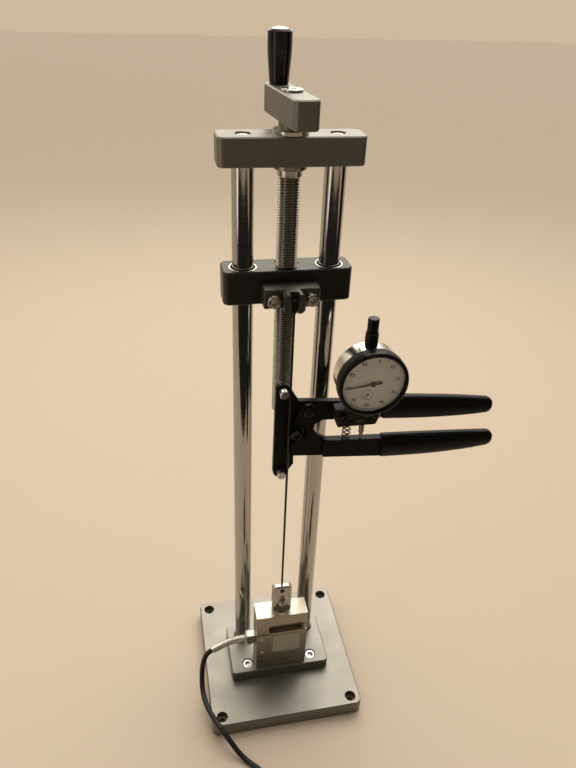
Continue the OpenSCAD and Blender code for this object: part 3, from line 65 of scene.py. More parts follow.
camera_data = bpy.data.cameras.new("camera")
camera = bpy.data.objects.new("camera", camera_data)
bpy.context.scene.collection.objects.link(camera)
camera_data.sensor_fit = "VERTICAL"
camera_data.sensor_height = 36
camera_data.lens = 31.26
camera_data.clip_start = 0.02
CAMERA_PLACE = (-0.09766, -0.44363, 0.64278)
HEADING, DOWNWARD, ROLL = -12.573, 32.291, 2.419
camera.matrix_world = (Matrix.Translation(CAMERA_PLACE) @ turned("Z", HEADING)
        @ turned("X", 90 - DOWNWARD) @ turned("Z", ROLL))
bpy.context.scene.camera = camera
bpy.context.scene.view_settings.view_transform = "Standard"
print("camera at", [round(v, 3) for v in camera.matrix_world.translation])

# %% [markdown]
# ## Places
# The CAD model measures in millimetres. The meter has its own directions, because it
# hangs on the spoke: x along the handles, y up, z towards the viewer. One function turns
# such a point into the frame's metres, so the numbers below can stay in millimetres.

# %% Places, in millimetres
SPOKE_Y = -16.4
COLUMN_X, COLUMN_Y = 33.0, 17.8
METER_Z = 316.8
DIAL_X, DIAL_Y = 61.3, 53.8
FACE_Z = 15.2

def at_meter(x, y, z):
    """A point of the meter, in the frame's metres."""
    return Vector((x, SPOKE_Y - z, METER_Z + y)) * MM

DIAL_PLACE = Matrix.Translation(at_meter(DIAL_X, DIAL_Y, 0)) @ turned("X", 90)
print("middle of the dial, in metres:", [round(v, 4) for v in DIAL_PLACE.translation])

def link(piece):
    bpy.context.scene.collection.objects.link(piece)
    return piece

def settle(piece, body, slot, *nodes):
    """Gives a finished piece its body and hides the solids it stands for; its slot is not used."""
    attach(piece, body)
    if nodes:
        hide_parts(*nodes)
    print(f"{piece.name}: rides on {body}, stands for {list(nodes)}")
    return piece

# %% [markdown]
# ## Cable
# The load cell's cable is one length of 5 mm jacketed lead. It drops from its strain
# relief, crosses the base plate, and runs off towards the viewer. The part that the
# photograph doesn't show is wound in two flat layers just outside the view, and ends in
# its round plug. A curve suits it: its line is the route, its bevel is the jacket. The
# route repeats the CAD model's points, and a Catmull-Rom spline rounds them off. The
# finished cable is kept as a mesh.

# %% Cable route
CABLE_D = 5.0
RELIEF_STEPS = [(0, 0, 0), (-5, 0, 0), (-10, 0, -0.5), (-16, 0, -2), (-22.5, 0, -5),
        (-28, 0, -8.1), (-33, 0, -11.2)]
GLAND_FACE = Vector((-35.0, SPOKE_Y, 66.0))
relief_route = [GLAND_FACE + Vector(p) for p in RELIEF_STEPS]
heading = (relief_route[-1] - relief_route[-2]).normalized()
LEAD_STEPS = [(-75.8, -17, 47.2), (-78.4, -18.8, 40.6), (-80, -21.4, 33.8), (-81, -25.8, 26.8),
        (-81.4, -31.8, 21.6), (-81, -40, 18.8), (-79.2, -50, 18.6), (-76, -60, 18.6),
        (-71.8, -69.6, 18.7), (-66.6, -79, 17.8), (-60.4, -88, 13.2), (-53.6, -96.4, 7),
        (-46.4, -104, 3.2), (-38, -112.2, 2.6), (-31, -120.2, 2.6), (-26, -129, 2.6),
        (-23.2, -139, 2.6), (-22.2, -150, 2.6), (-22, -162, 2.6), (-22, -174, 2.6),
        (-22, -180, 2.6), (-22, -186, 2.6)]
lead_route = [relief_route[-1], relief_route[-1] + CABLE_D * heading]
lead_route += [Vector(p) for p in LEAD_STEPS]
tail_route = [Vector(p) for p in [(33, -227, 8.4), (37, -227, 8.4), (43, -227, 8.4),
        (50, -227, 7.7), (57, -227, 7.7), (64, -227, 8.4), (70, -227, 8.4)]]
COIL_LOOPS, COIL_PITCH, COIL_LAYER, COIL_INNER = 4, 6.4, 5.8, 17.0
COIL_OUTER = COIL_INNER + COIL_LOOPS * COIL_PITCH
COIL_TURNS = 2 * COIL_LOOPS + 0.25
coil_centre = lead_route[-1] + Vector((COIL_OUTER, 0, 0))

def coil_point(turns):
    """The coil winds in over one layer, climbs half a turn, and winds out over the next."""
    climb = min(1, max(0, (turns - COIL_LOOPS) / 0.5))
    radius = (COIL_OUTER - COIL_PITCH * turns if turns < COIL_LOOPS else COIL_INNER
              + COIL_PITCH * max(0, turns - COIL_LOOPS - 0.5))
    angle = math.radians(180 + 360 * turns)
    return coil_centre + Vector((radius * math.cos(angle), radius * math.sin(angle),
            COIL_LAYER * climb))

def rounded_route(points, between):
    """A Catmull-Rom line through the points, with so many steps between each two."""
    padded = [2 * points[0] - points[1]] + points + [2 * points[-1] - points[-2]]
    line = []
    for a, b, c, d in zip(padded, padded[1:], padded[2:], padded[3:]):
        for step in range(between):
            t = step / between
            line.append(0.5 * (2 * b + (c - a) * t + (2 * a - 5 * b + 4 * c - d) * t * t
                    + (3 * b - a - 3 * c + d) * t ** 3))
    return line + [points[-1]]

POINTS_A_TURN, POINTS_A_STEP = 48, 6
coil_steps = round(COIL_TURNS * POINTS_A_TURN)
wound = [coil_point(i * COIL_TURNS / coil_steps) for i in range(2, coil_steps)]
cable_line = (rounded_route(lead_route, POINTS_A_STEP) + wound
        + rounded_route(tail_route, POINTS_A_STEP))

# %% Cable piece
def frozen(source):
    """The finished mesh of a curve, a text or a grown piece, which is then removed."""
    bpy.context.view_layer.update()
    ready = source.evaluated_get(bpy.context.evaluated_depsgraph_get())
    mesh = bpy.data.meshes.new_from_object(ready)
    bpy.data.objects.remove(source)
    return mesh

cable_data = bpy.data.curves.new("cable", "CURVE")
cable_data.dimensions = "3D"
cable_data.bevel_depth = CABLE_D / 2 * MM
cable_data.bevel_resolution = 5
cable_data.use_fill_caps = True
spline = cable_data.splines.new("POLY")
spline.points.add(len(cable_line) - 1)
for spot, place in zip(spline.points, cable_line):
    spot.co = (*(place * MM), 1)
cable_curve = link(bpy.data.objects.new("cable_curve", cable_data))
cable = link(bpy.data.objects.new("signal_cable", frozen(cable_curve)))
work = bmesh.new()
work.from_mesh(cable.data)
bmesh.ops.remove_doubles(work, verts=work.verts, dist=0.001 * MM)
work.to_mesh(cable.data)
work.free()
settle(cable, "stand", "cable_jacket", "cable_lead", "cable_coil", "cable_tail")

# %% [markdown]
# ## Helpers for finishes
# A finish is a small graph of shader nodes. One function adds a node with its settings
# and links, one turns hex colours into the linear numbers of a shader, one starts a
# finish, and the last lets patterns drive the roughness and the relief, as wear does.

# %% Helpers for finishes
def put(tree, kind, inputs=None, **settings):
    """Adds a node. An input is a value, a socket, or a node whose first output is meant."""
    made = tree.nodes.new(kind)
    for key, value in settings.items():
        setattr(made, key, value)
    for key, value in (inputs or {}).items():
        if isinstance(value, bpy.types.Node):
            value = value.outputs[0]
        if isinstance(value, bpy.types.NodeSocket):
            tree.links.new(value, made.inputs[key])
        else:
            made.inputs[key].default_value = value
    return made

def colour(code):
    """An sRGB hex colour as linear numbers."""
    parts = [int(code[i:i + 2], 16) / 255 for i in (1, 3, 5)]
    return [c / 12.92 if c <= 0.04045 else ((c + 0.055) / 1.055) ** 2.4 for c in parts] + [1.0]

def start_finish(name, code, metallic, roughness):
    """A material with one shader, and the object's own coordinates for its patterns."""
    made = bpy.data.materials.new(name)
    made.use_nodes = True
    made.diffuse_color = colour(code)
    shader = made.node_tree.nodes["Principled BSDF"]
    shader.inputs["Base Color"].default_value = colour(code)
    shader.inputs["Metallic"].default_value = metallic
    shader.inputs["Roughness"].default_value = roughness
    place = put(made.node_tree, "ShaderNodeTexCoord").outputs["Object"]
    return made, made.node_tree, shader, place

def per_metre(millimetres):
    """A pattern's scale for a feature of that many millimetres."""
    return 1000 / millimetres

def weathered(made, wear, relief, low, high, strength, depth_mm):
    """One pattern drives the roughness from low to high, another one the relief."""
    tree = made.node_tree
    shader = tree.nodes["Principled BSDF"]
    rough = put(tree, "ShaderNodeMapRange", {"Value": wear, "From Min": 0.3, "From Max": 0.7,
            "To Min": low, "To Max": high})
    tree.links.new(rough.outputs["Result"], shader.inputs["Roughness"])
    bump = put(tree, "ShaderNodeBump", {"Height": relief, "Strength": strength,
            "Distance": depth_mm * MM})
    tree.links.new(bump.outputs["Normal"], shader.inputs["Normal"])
    print("finish", made.name)
    return made

# %% [markdown]
# ## Anodised aluminium
# The plates are sawn bar, bead blasted and anodised grey: a satin skin that takes the
# light of the ceiling on its top faces and goes almost black on its front faces. The
# bead blasting is a fine bump of 0.4 mm grain. Handling leaves soft cloudy marks, which
# are a slow noise of 25 mm in the roughness and a little in the colour.

# %% Anodised aluminium
def anodised(name, code, light_code, roughness):
    """Bead-blasted and anodised aluminium, with soft marks of handling."""
    made, tree, shader, place = start_finish(name, code, 0.85, roughness)
    clouds = put(tree, "ShaderNodeTexNoise", {"Vector": place, "Scale": per_metre(25),
            "Detail": 4.0})
    tint = put(tree, "ShaderNodeMix", {0: clouds.outputs["Fac"], 6: colour(code),
            7: colour(light_code)}, data_type="RGBA")
    tree.links.new(tint.outputs[2], shader.inputs["Base Color"])
    grain = put(tree, "ShaderNodeTexNoise", {"Vector": place, "Scale": per_metre(0.4),
            "Detail": 2.0})
    return weathered(made, clouds, grain, roughness - 0.05, roughness + 0.07, 0.12, 0.02)

# Satin grey: bright on top, dark in front.
anodised_grey = anodised("anodised_aluminium_grey", "#75726a", "#807c73", 0.44)
# The same skin dyed black: only its top shows a sheen.
anodised_black = anodised("anodised_aluminium_black", "#393834", "#42403b", 0.40)
# Dyed dark grey, so that the bracket stands off the crosshead.
anodised_bracket = anodised("anodised_aluminium_dark", "#55534c", "#605d55", 0.42)

# %% [markdown]
# ## Plated and bare metals
# Chrome, nickel and zinc are all thin bright platings. What tells them apart is how the
# steel below was worked: the columns are ground and polished, with faint marks that run
# round them, the load cell is milled and brushed along its length, the screws are
# tumbled. A noise stretched one way gives each its direction. It drives the roughness,
# because wear shows in the shine long before it shows in the colour.

# %% Plated and bare metals
def metal(name, code, roughness, stretch, depth, strength):
    """Stretch is the size of the marks along X, Y and Z, in millimetres."""
    made, tree, shader, place = start_finish(name, code, 1.0, roughness)
    mapped = put(tree, "ShaderNodeMapping", {"Vector": place,
            "Scale": [per_metre(v) for v in stretch]})
    marks = put(tree, "ShaderNodeTexNoise", {"Vector": mapped, "Scale": 1.0, "Detail": 3.0})
    return weathered(made, marks, marks, max(0.03, roughness - depth), roughness + depth,
            strength, 0.02)

# Ground hard chrome: long streaks of reflection, with faint rings.
hard_chrome = metal("hard_chrome_ground", "#aeaca8", 0.10, (60, 60, 1.2), 0.04, 0.05)
# Brushed nickel plate: a broad warm sheen with fine level lines.
brushed_nickel = metal("nickel_plate_brushed", "#b0a797", 0.36, (14, 14, 0.5), 0.08, 0.10)
# Bright zinc plate, tumbled: small sparkling heads.
zinc_plate = metal("zinc_plated_steel", "#c9c6bd", 0.26, (3, 3, 3), 0.06, 0.08)
# Turned steel: a clean bright ring of light on every shoulder.
turned_steel = metal("turned_steel", "#bdb9ae", 0.24, (12, 12, 0.6), 0.06, 0.08)
# Rolled steel under oil: a darker shine.
oiled_steel = metal("rolled_steel_oiled", "#8f8a7f", 0.28, (4, 4, 4), 0.08, 0.10)
# Black oxide on steel: metal that stays dark.
black_oxide = metal("black_oxide_steel", "#34322e", 0.34, (2, 2, 2), 0.07, 0.10)
# Satin chrome on brass: soft mirror of a dial case.
polished_case = metal("satin_chrome_case", "#d2cec4", 0.16, (18, 18, 1.5), 0.05, 0.05)
# Spring steel wire: bright crests, dark gaps.
relief_steel = metal("spring_steel_wire", "#c6c1b5", 0.30, (3, 3, 3), 0.06, 0.06)
# Leaded bronze under oil: a brown ring round the screw.
bronze = metal("leaded_bronze_oiled", "#54452c", 0.36, (10, 10, 0.8), 0.07, 0.10)

# %% [markdown]
# ## Coatings, rubber and plastics
# The meter's forged halves are powder coated black, with the soft orange peel of a
# baked coat. The grips are dipped in vinyl, which levels itself and stays shiny. The
# dial's clamp is a rough black block with thin pale streaks at random.
# None of these is a metal to the eye: metallic stays at 0 and the gloss does the work.

# %% Coatings, rubber and plastics
def coating(name, code, roughness, grain_mm, strength, depth_mm, gloss=0.3):
    """A paint, plastic or rubber. Its grain is the size of its unevenness."""
    made, tree, shader, place = start_finish(name, code, 0.0, roughness)
    shader.inputs["Specular IOR Level"].default_value = gloss
    peel = put(tree, "ShaderNodeTexNoise", {"Vector": place, "Scale": per_metre(grain_mm),
            "Detail": 3.0})
    return weathered(made, peel, peel, roughness - 0.05, roughness + 0.06, strength, depth_mm)

# Powder coat: black with the orange peel of a baked coat.
powder_coat = coating("powder_coat_black", "#0d0c0a", 0.42, 0.9, 0.25, 0.03, 0.14)
# Dipped vinyl: black and smooth, with one soft sheen along the top.
dipped_vinyl = coating("dipped_vinyl_black", "#090807", 0.34, 6.0, 0.08, 0.06, 0.16)
# Moulded phenolic: the glossiest black of all, with sharp highlights.
gloss_phenolic = coating("moulded_phenolic_black", "#0f0e0e", 0.16, 8.0, 0.08, 0.05)
# Moulded plastic: satin black.
bezel_plastic = coating("moulded_plastic_black", "#100f0f", 0.32, 0.8, 0.10, 0.02, 0.2)
# PVC jacket: dull black.
cable_jacket = coating("pvc_jacket_black", "#121110", 0.42, 1.5, 0.15, 0.03)
# Black coated spoke: one thin line of light.
spoke_coat = coating("black_coated_spoke", "#11100f", 0.28, 2.0, 0.05, 0.01)
# Printing ink: flat and nearly black.
print_black = coating("printing_ink_black", "#2a2620", 0.55, 0.5, 0.02, 0.01)
# Dial enamel: a pale matt ground for the print.
face_enamel = coating("dial_enamel_pale", "#fbf8f1", 0.50, 2.5, 0.05, 0.01)
# Needle paint: a dark warm grey, lighter than the print.
needle_paint = coating("needle_paint_dark", "#463d31", 0.45, 1.0, 0.05, 0.01)
# Label film: a dull silver grey.
label_foil = coating("label_film_silver_grey", "#aaa695", 0.38, 9.0, 0.02, 0.02)
# Wiper rubber: soft black without shine.
seal_rubber = coating("seal_rubber_black", "#141312", 0.5, 1.0, 0.1, 0.02)
# Backdrop paper: pale and matt.
floor_paper = coating("backdrop_paper_pale", "#b9aa97", 0.85, 30.0, 0.02, 0.05)

# %% Scratched clamp block
# Rough black block: dull black, with thin pale streaks at random.
BLOCK_BLACK, PALE_STREAK_TONE = "#100e0b", "#9a917f"
clamp_coat, tree, shader, place = start_finish("streaked_black_block", BLOCK_BLACK, 0.0, 0.45)
shader.inputs["Specular IOR Level"].default_value = 0.16
skewed = put(tree, "ShaderNodeMapping", {"Vector": place, "Rotation": (0.3, 0.8, 0.5),
        "Scale": [per_metre(v) for v in (7, 7, 0.6)]})
streak_noise = put(tree, "ShaderNodeTexNoise", {"Vector": skewed, "Scale": 1.0, "Detail": 5.0,
        "Roughness": 0.7})
streak_mask = put(tree, "ShaderNodeMapRange", {"Value": streak_noise, "From Min": 0.585, "From Max": 0.66,
        "To Min": 0.0, "To Max": 1.0})
streaked_tone = put(tree, "ShaderNodeMix", {0: streak_mask, 6: colour(BLOCK_BLACK), 7: colour(PALE_STREAK_TONE)},
           data_type="RGBA")
tree.links.new(streaked_tone.outputs[2], shader.inputs["Base Color"])
pits = put(tree, "ShaderNodeTexNoise", {"Vector": place, "Scale": per_metre(1.1), "Detail": 4.0})
rough_skin = put(tree, "ShaderNodeBump", {"Height": pits, "Strength": 0.5, "Distance": 0.08 * MM})
tree.links.new(rough_skin.outputs["Normal"], shader.inputs["Normal"])
print("finish", clamp_coat.name)

# %% Clear dial glass
# Cast acrylic: clear, with one soft reflection of the ceiling.
ACRYLIC_IOR = 1.49
dial_glass, _, shader, _ = start_finish("acrylic_clear", "#ffffff", 0.0, 0.02)
shader.inputs["Transmission Weight"].default_value = 1.0
shader.inputs["IOR"].default_value = ACRYLIC_IOR
print("finish", dial_glass.name)

# %% [markdown]
# ## Solids that stay
# Where a solid's shape is already right, it only needs its finish. The frame's objects
# are never moved or reshaped, so the material goes into their slot.

# %% Solids that stay
def paint(finish, *nodes):
    """Gives solids their finish, in the slots they have."""
    for node in nodes:
        for slot_in in bpy.data.objects[node].material_slots:
            slot_in.material = finish
    print(finish.name, "on", ", ".join(nodes))

paint(anodised_grey, "base_plate", "riser_plate", "top_plate", "crank_arm")
paint(anodised_black, "crosshead")
paint(hard_chrome, "column_left", "column_right")
paint(zinc_plate, "jaw_pin_top", "jaw_pin_bottom")
paint(turned_steel, "thrust_washer")
paint(seal_rubber, "bush_left", "bush_right")
paint(oiled_steel, "screw_bearing", "dial_spindle")
paint(bronze, "lead_nut")
paint(spoke_coat, "spoke", "spoke_nipple")
paint(gloss_phenolic, "crank_grip", "cable_plug")
paint(face_enamel, "dial_centre", "scale_ring")
paint(needle_paint, "main_needle", "counter_needle")
cable.data.materials.append(cable_jacket)
for face in cable.data.polygons:
    face.use_smooth = True

# %% [markdown]
# ## Machined edges
# No machined edge is truly sharp: the milling cutter or a file breaks it, and the light
# catches there. The solids come as loose triangles, so a copy is welded, its flat faces
# are joined again, and a Bevel modifier breaks every edge above 30 degrees. The copy
# then stands for the solid.

# %% Machined edges
def edged(node, body, slot, finish, width):
    """A copy of a solid with its edges broken by so many millimetres."""
    mesh = bpy.data.objects[node].data.copy()
    work = bmesh.new()
    work.from_mesh(mesh)
    bmesh.ops.remove_doubles(work, verts=work.verts, dist=0.002 * MM)
    bmesh.ops.dissolve_limit(work, angle_limit=math.radians(0.6), verts=work.verts,
            edges=work.edges)
    for face in work.faces:
        face.smooth = True
    work.to_mesh(mesh)
    work.free()
    mesh.materials.clear()
    mesh.materials.append(finish)
    piece = link(bpy.data.objects.new(node + "_edged", mesh))
    edge = piece.modifiers.new("broken edges", "BEVEL")
    edge.width = width * MM
    edge.segments = 2
    edge.limit_method = "ANGLE"
    edge.angle_limit = math.radians(30)
    level = piece.modifiers.new("flat faces", "WEIGHTED_NORMAL")
    level.weight = 100
    return settle(piece, body, slot, node)

for solid in [
        ("load_cell", "stand", "nickel", brushed_nickel, 0.35),
        ("gauge_cover", "stand", "nickel", brushed_nickel, 0.12),
        ("spoke_anchor", "stand", "bright_steel", turned_steel, 0.25),
        ("gland_body", "stand", "nickel", turned_steel, 0.3),
        ("gland_nut", "stand", "bright_steel", turned_steel, 0.3),
        ("spoke_bracket", "crosshead", "bracket_grey", anodised_bracket, 0.3),
        ("screw_collar", "screw", "bright_steel", turned_steel, 0.3),
        ("grip_spindle", "screw", "bright_steel", zinc_plate, 0.2),
        ("meter_frame", "meter", "meter_black", powder_coat, 0.5),
        ("lever", "lever", "meter_black", powder_coat, 0.5),
        ("lever_pin", "meter", "dark_steel", black_oxide, 0.3),
        ("roller_axle", "lever", "dark_steel", black_oxide, 0.2),
        ("contact_roller", "roller", "dark_steel", black_oxide, 0.2),
        ("dial_clamp", "meter", "clamp_black", clamp_coat, 0.4),
        ("dial_case", "meter", "case_silver", polished_case, 0.5),
        ("spindle_guard", "meter", "bezel_black", bezel_plastic, 0.3),
        ("spindle_cap", "spindle", "bezel_black", bezel_plastic, 0.4)]:
    edged(*solid)

# %% [markdown]
# ## Skins from rings
# Turned and dipped pieces are a row of rings: a lathe makes each ring round, a socket is
# a hexagonal ring, a dipped handle is a row of ovals. One function stretches a closed
# skin over such rings, from the first to the last, and closes both ends, or joins the
# last ring to the first where the piece is itself a ring.

# %% Skins from rings
def round_ring(radius, height, sides=72, dent=0.0):
    """A circle, in millimetres. Every second point may be dented inwards, as a knurl."""
    return [Vector(((radius - dent * (i % 2)) * math.cos(2 * math.pi * i / sides),
            (radius - dent * (i % 2)) * math.sin(2 * math.pi * i / sides), height))
            for i in range(sides)]

def lathe(*profile, sides=72):
    """Circles for pairs of radius and height, as a turned piece is drawn."""
    return [round_ring(radius, height, sides) for radius, height in profile]

def hex_ring(corner, height, sides=72):
    """A hexagon with as many points as the circles around it."""
    ring = []
    for i in range(sides):
        angle = 2 * math.pi * i / sides
        off_corner = (angle + math.pi / 6) % (math.pi / 3) - math.pi / 6
        radius = corner * math.cos(math.pi / 6) / math.cos(math.pi / 6 - abs(off_corner))
        ring.append(Vector((radius * math.cos(angle), radius * math.sin(angle), height)))
    return ring

def kept(name, work, *finishes):
    """Keeps a bmesh as a piece with its finishes."""
    mesh = bpy.data.meshes.new(name)
    work.to_mesh(mesh)
    work.free()
    for finish in finishes:
        mesh.materials.append(finish)
    return link(bpy.data.objects.new(name, mesh))

def skin(name, rings, finish, place=Matrix.Scale(MM, 4), joined=False, sharp=35):
    """A closed mesh over rings of equal count, in millimetres, put in its place."""
    work = bmesh.new()
    loops = [[work.verts.new(place @ point) for point in ring] for ring in rings]
    for low, high in zip(loops, loops[1:] + (loops[:1] if joined else [])):
        for i in range(len(low)):
            work.faces.new((low[i], low[i - 1], high[i - 1], high[i]))
    if not joined:
        work.faces.new(loops[0])
        work.faces.new(loops[-1])
    bmesh.ops.remove_doubles(work, verts=work.verts, dist=0.001 * MM)
    bmesh.ops.recalc_face_normals(work, faces=work.faces)
    for face in work.faces:
        face.smooth = True
    piece = kept(name, work, finish)
    piece.data.set_sharp_from_angle(angle=math.radians(sharp))
    return piece

def in_mm(place):
    """A place in metres, ready for points in millimetres."""
    return place @ Matrix.Scale(MM, 4)

# %% [markdown]
# ## Helpers for grown pieces
# Whatever repeats is grown by Geometry Nodes: one tree per kind of piece, with named
# inputs, so that a tree serves every size of its kind. A grown piece is evaluated once
# and kept as a plain mesh. Where a tree has many Math nodes, a table lists them: a name,
# an operation and its terms, where a word means the row of that name above.

# %% Helpers for grown pieces
MATH = "ShaderNodeMath"

def start_tree(name, **given):
    """A tree with its geometry, further inputs by name and type, and a finish."""
    tree = bpy.data.node_groups.new(name, "GeometryNodeTree")
    for label, kind in {"Geometry": "Geometry", **given, "Finish": "Material"}.items():
        tree.interface.new_socket(label, in_out="INPUT", socket_type="NodeSocket" + kind)
    tree.interface.new_socket("Geometry", in_out="OUTPUT", socket_type="NodeSocketGeometry")
    return tree, put(tree, "NodeGroupInput").outputs

def end_tree(tree, geometry):
    """Ends a tree in real geometry with its material."""
    real = put(tree, "GeometryNodeRealizeInstances", {"Geometry": geometry})
    done = put(tree, "GeometryNodeSetMaterial", {"Geometry": real,
               "Material": tree.nodes["Group Input"].outputs["Finish"]})
    put(tree, "NodeGroupOutput", {"Geometry": done})
    print("tree", tree.name, "with", len(tree.nodes), "nodes")

def grown(name, tree, points, sharp=35, **inputs):
    """Runs a tree on points (metres) and keeps the result as a mesh."""
    seeds = bpy.data.meshes.new(name)
    seeds.from_pydata([tuple(p) for p in points],
            [(i, i + 1) for i in range(len(points) - 1)], [])
    seed_piece = link(bpy.data.objects.new(name + "_start", seeds))
    grower = seed_piece.modifiers.new("growth", "NODES")
    grower.node_group = tree
    for item in tree.interface.items_tree:
        if item.in_out == "INPUT" and item.name in inputs:
            grower[item.identifier] = inputs[item.name]
    mesh = frozen(seed_piece)
    mesh.materials.clear()
    mesh.materials.append(inputs["Finish"])
    for face in mesh.polygons:
        face.use_smooth = True
        face.material_index = 0
    mesh.set_sharp_from_angle(angle=math.radians(sharp))
    mesh.name = name
    piece = link(bpy.data.objects.new(name, mesh))
    edges_used = [0] * len(mesh.edges)
    for loop in mesh.loops:
        edges_used[loop.edge_index] += 1
    print(f"{name}: {len(mesh.polygons)} faces, {sum(n != 2 for n in edges_used)} open edges")
    return piece

# %% [markdown]
# ## Screws
# The socket heads are cold forged: a knurled side that fingers can grip, a small
# chamfer, a pressed hexagon. They are the only bright points on the dark plates, so each
# size gets a true head. A prototype of each size is turned, and the screw field sets it
# on every point, with a chance twist about its axis, since no two screws end up alike.

# %% Screw prototypes
def socket_screw(name, shank, head, head_h, across, length, finish=zinc_plate):
    """A socket-head screw: the seat of its head is at z = 0, its shank points down."""
    deep, top = head_h * 0.55, head_h * 0.99
    rings = [round_ring(shank / 2 - 0.5, 0.5 - length), round_ring(shank / 2, 1 - length),
             round_ring(shank / 2, 0.01), round_ring(head / 2 - 0.25, 0.01),
             round_ring(head / 2 - 0.03, 0.3, dent=0.12),
             round_ring(head / 2 - 0.03, top - 0.7, dent=0.12),
             round_ring(head / 2 - 0.08, top - 0.45), round_ring(head / 2 - 0.5, top),
             round_ring(across / 2 + 0.35, top), hex_ring(across / 2, top - 0.25),
             hex_ring(across / 2, top - deep), round_ring(0.2, top - deep - across * 0.12)]
    return skin(name, rings, finish)

def button_screw(name, shank, head, head_h, across, length):
    rings = lathe((shank / 2, 0.01 - length), (shank / 2, 0.01))
    rings += [round_ring(head / 2 * math.cos(a) ** 0.7, head_h * math.sin(a))
              for a in map(math.radians, (2, 20, 40, 58))]
    rings += [hex_ring(across / 2, head_h * 0.8), hex_ring(across / 2, head_h * 0.25),
              round_ring(0.1, head_h * 0.2)]
    return skin(name, rings, zinc_plate)

# %% Screw field
screw_field, start = start_tree("screw_field", Screw="Object", Direction="Vector", Seed="Int")
source = put(screw_field, "GeometryNodeObjectInfo", {"Object": start["Screw"]})
aimed = put(screw_field, "FunctionNodeAlignRotationToVector", {"Vector": start["Direction"]},
            axis="Z")
chance = put(screw_field, "FunctionNodeRandomValue", {0: (0, 0, 0), 1: (0, 0, 2 * math.pi),
        "Seed": start["Seed"]}, data_type="FLOAT_VECTOR")
twisted = put(screw_field, "FunctionNodeRotateRotation", {"Rotation": aimed, "Rotate By": chance},
        rotation_space="LOCAL")
placed = put(screw_field, "GeometryNodeInstanceOnPoints", {"Points": start["Geometry"],
        "Instance": source.outputs["Geometry"], "Rotation": twisted})
end_tree(screw_field, placed)

def screws(node, body, prototype, direction, seed, *points):
    """One group of zinc-plated screws, at points in millimetres."""
    piece = grown(node + "_dressed", screw_field, [Vector(p) * MM for p in points],
            Screw=prototype, Direction=direction, Seed=seed, Finish=zinc_plate)
    settle(piece, body, "bright_steel", node)
    bpy.data.objects.remove(prototype)

# %% Screws of the stand
UP, DOWN, FORWARD = (0, 0, 1), (0, 0, -1), (0, -1, 0)
screws("riser_screws", "stand", socket_screw("m6_short", 6, 10, 6, 5.8, 16), UP, 3,
       (-33, -18.4, 21), (33, -18.4, 21))
screws("column_foot_bolts", "stand", socket_screw("m8", 8, 13, 8, 6.9, 30), DOWN, 4,
       (-COLUMN_X, COLUMN_Y, 9), (COLUMN_X, COLUMN_Y, 9))
screws("column_top_screws", "stand", socket_screw("m6_long", 6, 10, 6, 5.8, 30), UP, 5,
       (-COLUMN_X, COLUMN_Y, 538.5), (COLUMN_X, COLUMN_Y, 538.5))
screws("load_cell_bolt", "stand", socket_screw("m12", 12, 18, 12, 11.5, 28), DOWN, 6,
       (0, SPOKE_Y, 13))
screws("bracket_screws", "crosshead", socket_screw("m6_side", 6, 10, 6, 5.8, 24), FORWARD, 7,
       (-14.2, -8.4, 434.9), (14.2, -8.4, 434.9))
screws("anchor_screw", "stand", socket_screw("m4_short", 4, 7, 4, 3.5, 4), FORWARD, 8,
       (0, -19.2, 118))
screws("gauge_cover_screws", "stand", button_screw("cover_screw", 2.4, 4.2, 1.2, 1.8, 5), FORWARD,
       9, (-19.4, -26.925, 52.9), (-19.4, -26.925, 72.9))

# %% Screws of the meter
oxide_screw = socket_screw("m3", 3, 5.5, 3, 2.9, 14.2, black_oxide)
heads = grown("clamp_heads", screw_field, [at_meter(43.5, 18.5, 7), at_meter(69.4, 19.6, 7)],
        Screw=oxide_screw, Direction=FORWARD, Seed=10, Finish=black_oxide)
bpy.data.objects.remove(oxide_screw)
set_place = in_mm(Matrix.Translation(at_meter(65.35, 12.6, 1.3)) @ turned("Y", 90))
rings = lathe((1.6, 0.05), (2.45, 0.9), (2.45, 10.2), (2.2, 10.4), (1.75, 10.4))
rings += [hex_ring(1.4, 10.3), hex_ring(1.4, 8.8), round_ring(0.1, 8.6)]
set_screw = skin("set_screw", rings, zinc_plate, set_place)

def merged(name, pieces):
    """Several closed skins as one piece. Each keeps its finish."""
    finishes = []
    work = bmesh.new()
    for piece in pieces:
        at = len(work.faces)
        work.from_mesh(piece.data)
        work.faces.ensure_lookup_table()
        finish = piece.data.materials[0]
        if finish not in finishes:
            finishes.append(finish)
        for face in work.faces[at:]:
            face.material_index = finishes.index(finish)
        bpy.data.objects.remove(piece)
    return kept(name, work, *finishes)

settle(merged("clamp_screws_dressed", [heads, set_screw]), "meter", "bright_steel", "clamp_screws")

# %% [markdown]
# ## Crank screw
# One screw with a wide washer face clamps the crank. In the photograph it is a low bright
# disc. The solid's recess is as wide as its hexagon and breaks the reflection up, so the
# screw is turned again from rings, with a flat face and a small hexagon.

# %% Crank screw
SHANK_FOOT, DISC_FOOT, DISC_TOP, HEAD_TOP = 557, 571.6, 573.2, 573.45
at_screw = in_mm(Matrix.Translation((0, COLUMN_Y * MM, 0)))
rings = lathe((3, SHANK_FOOT), (3, DISC_FOOT), (7.0, DISC_FOOT), (7.3, 571.8), (7.3, 572.9),
        (7.0, DISC_TOP), (5.6, DISC_TOP), (5.3, HEAD_TOP), (2.5, HEAD_TOP), (2.3, 573.3))
rings += [hex_ring(2.1, DISC_TOP), hex_ring(2.1, 571.9), round_ring(0.1, 571.8)]
crank_screw = skin("crank_screw_dressed", rings, turned_steel, at_screw)
settle(crank_screw, "screw", "bright_steel", "crank_screw")

# %% [markdown]
# ## Lead screw
# A rolled trapezoidal thread, 16 mm across, two millimetres from one crest to the next.
# Its skin is a sheet with 48 columns around and six rows to a turn. Every column climbs
# one pitch on its way round, so the rows follow the helix, and a row's distance from the
# axis comes from its place in the tooth. Rows beyond an end fold into a flat end face.

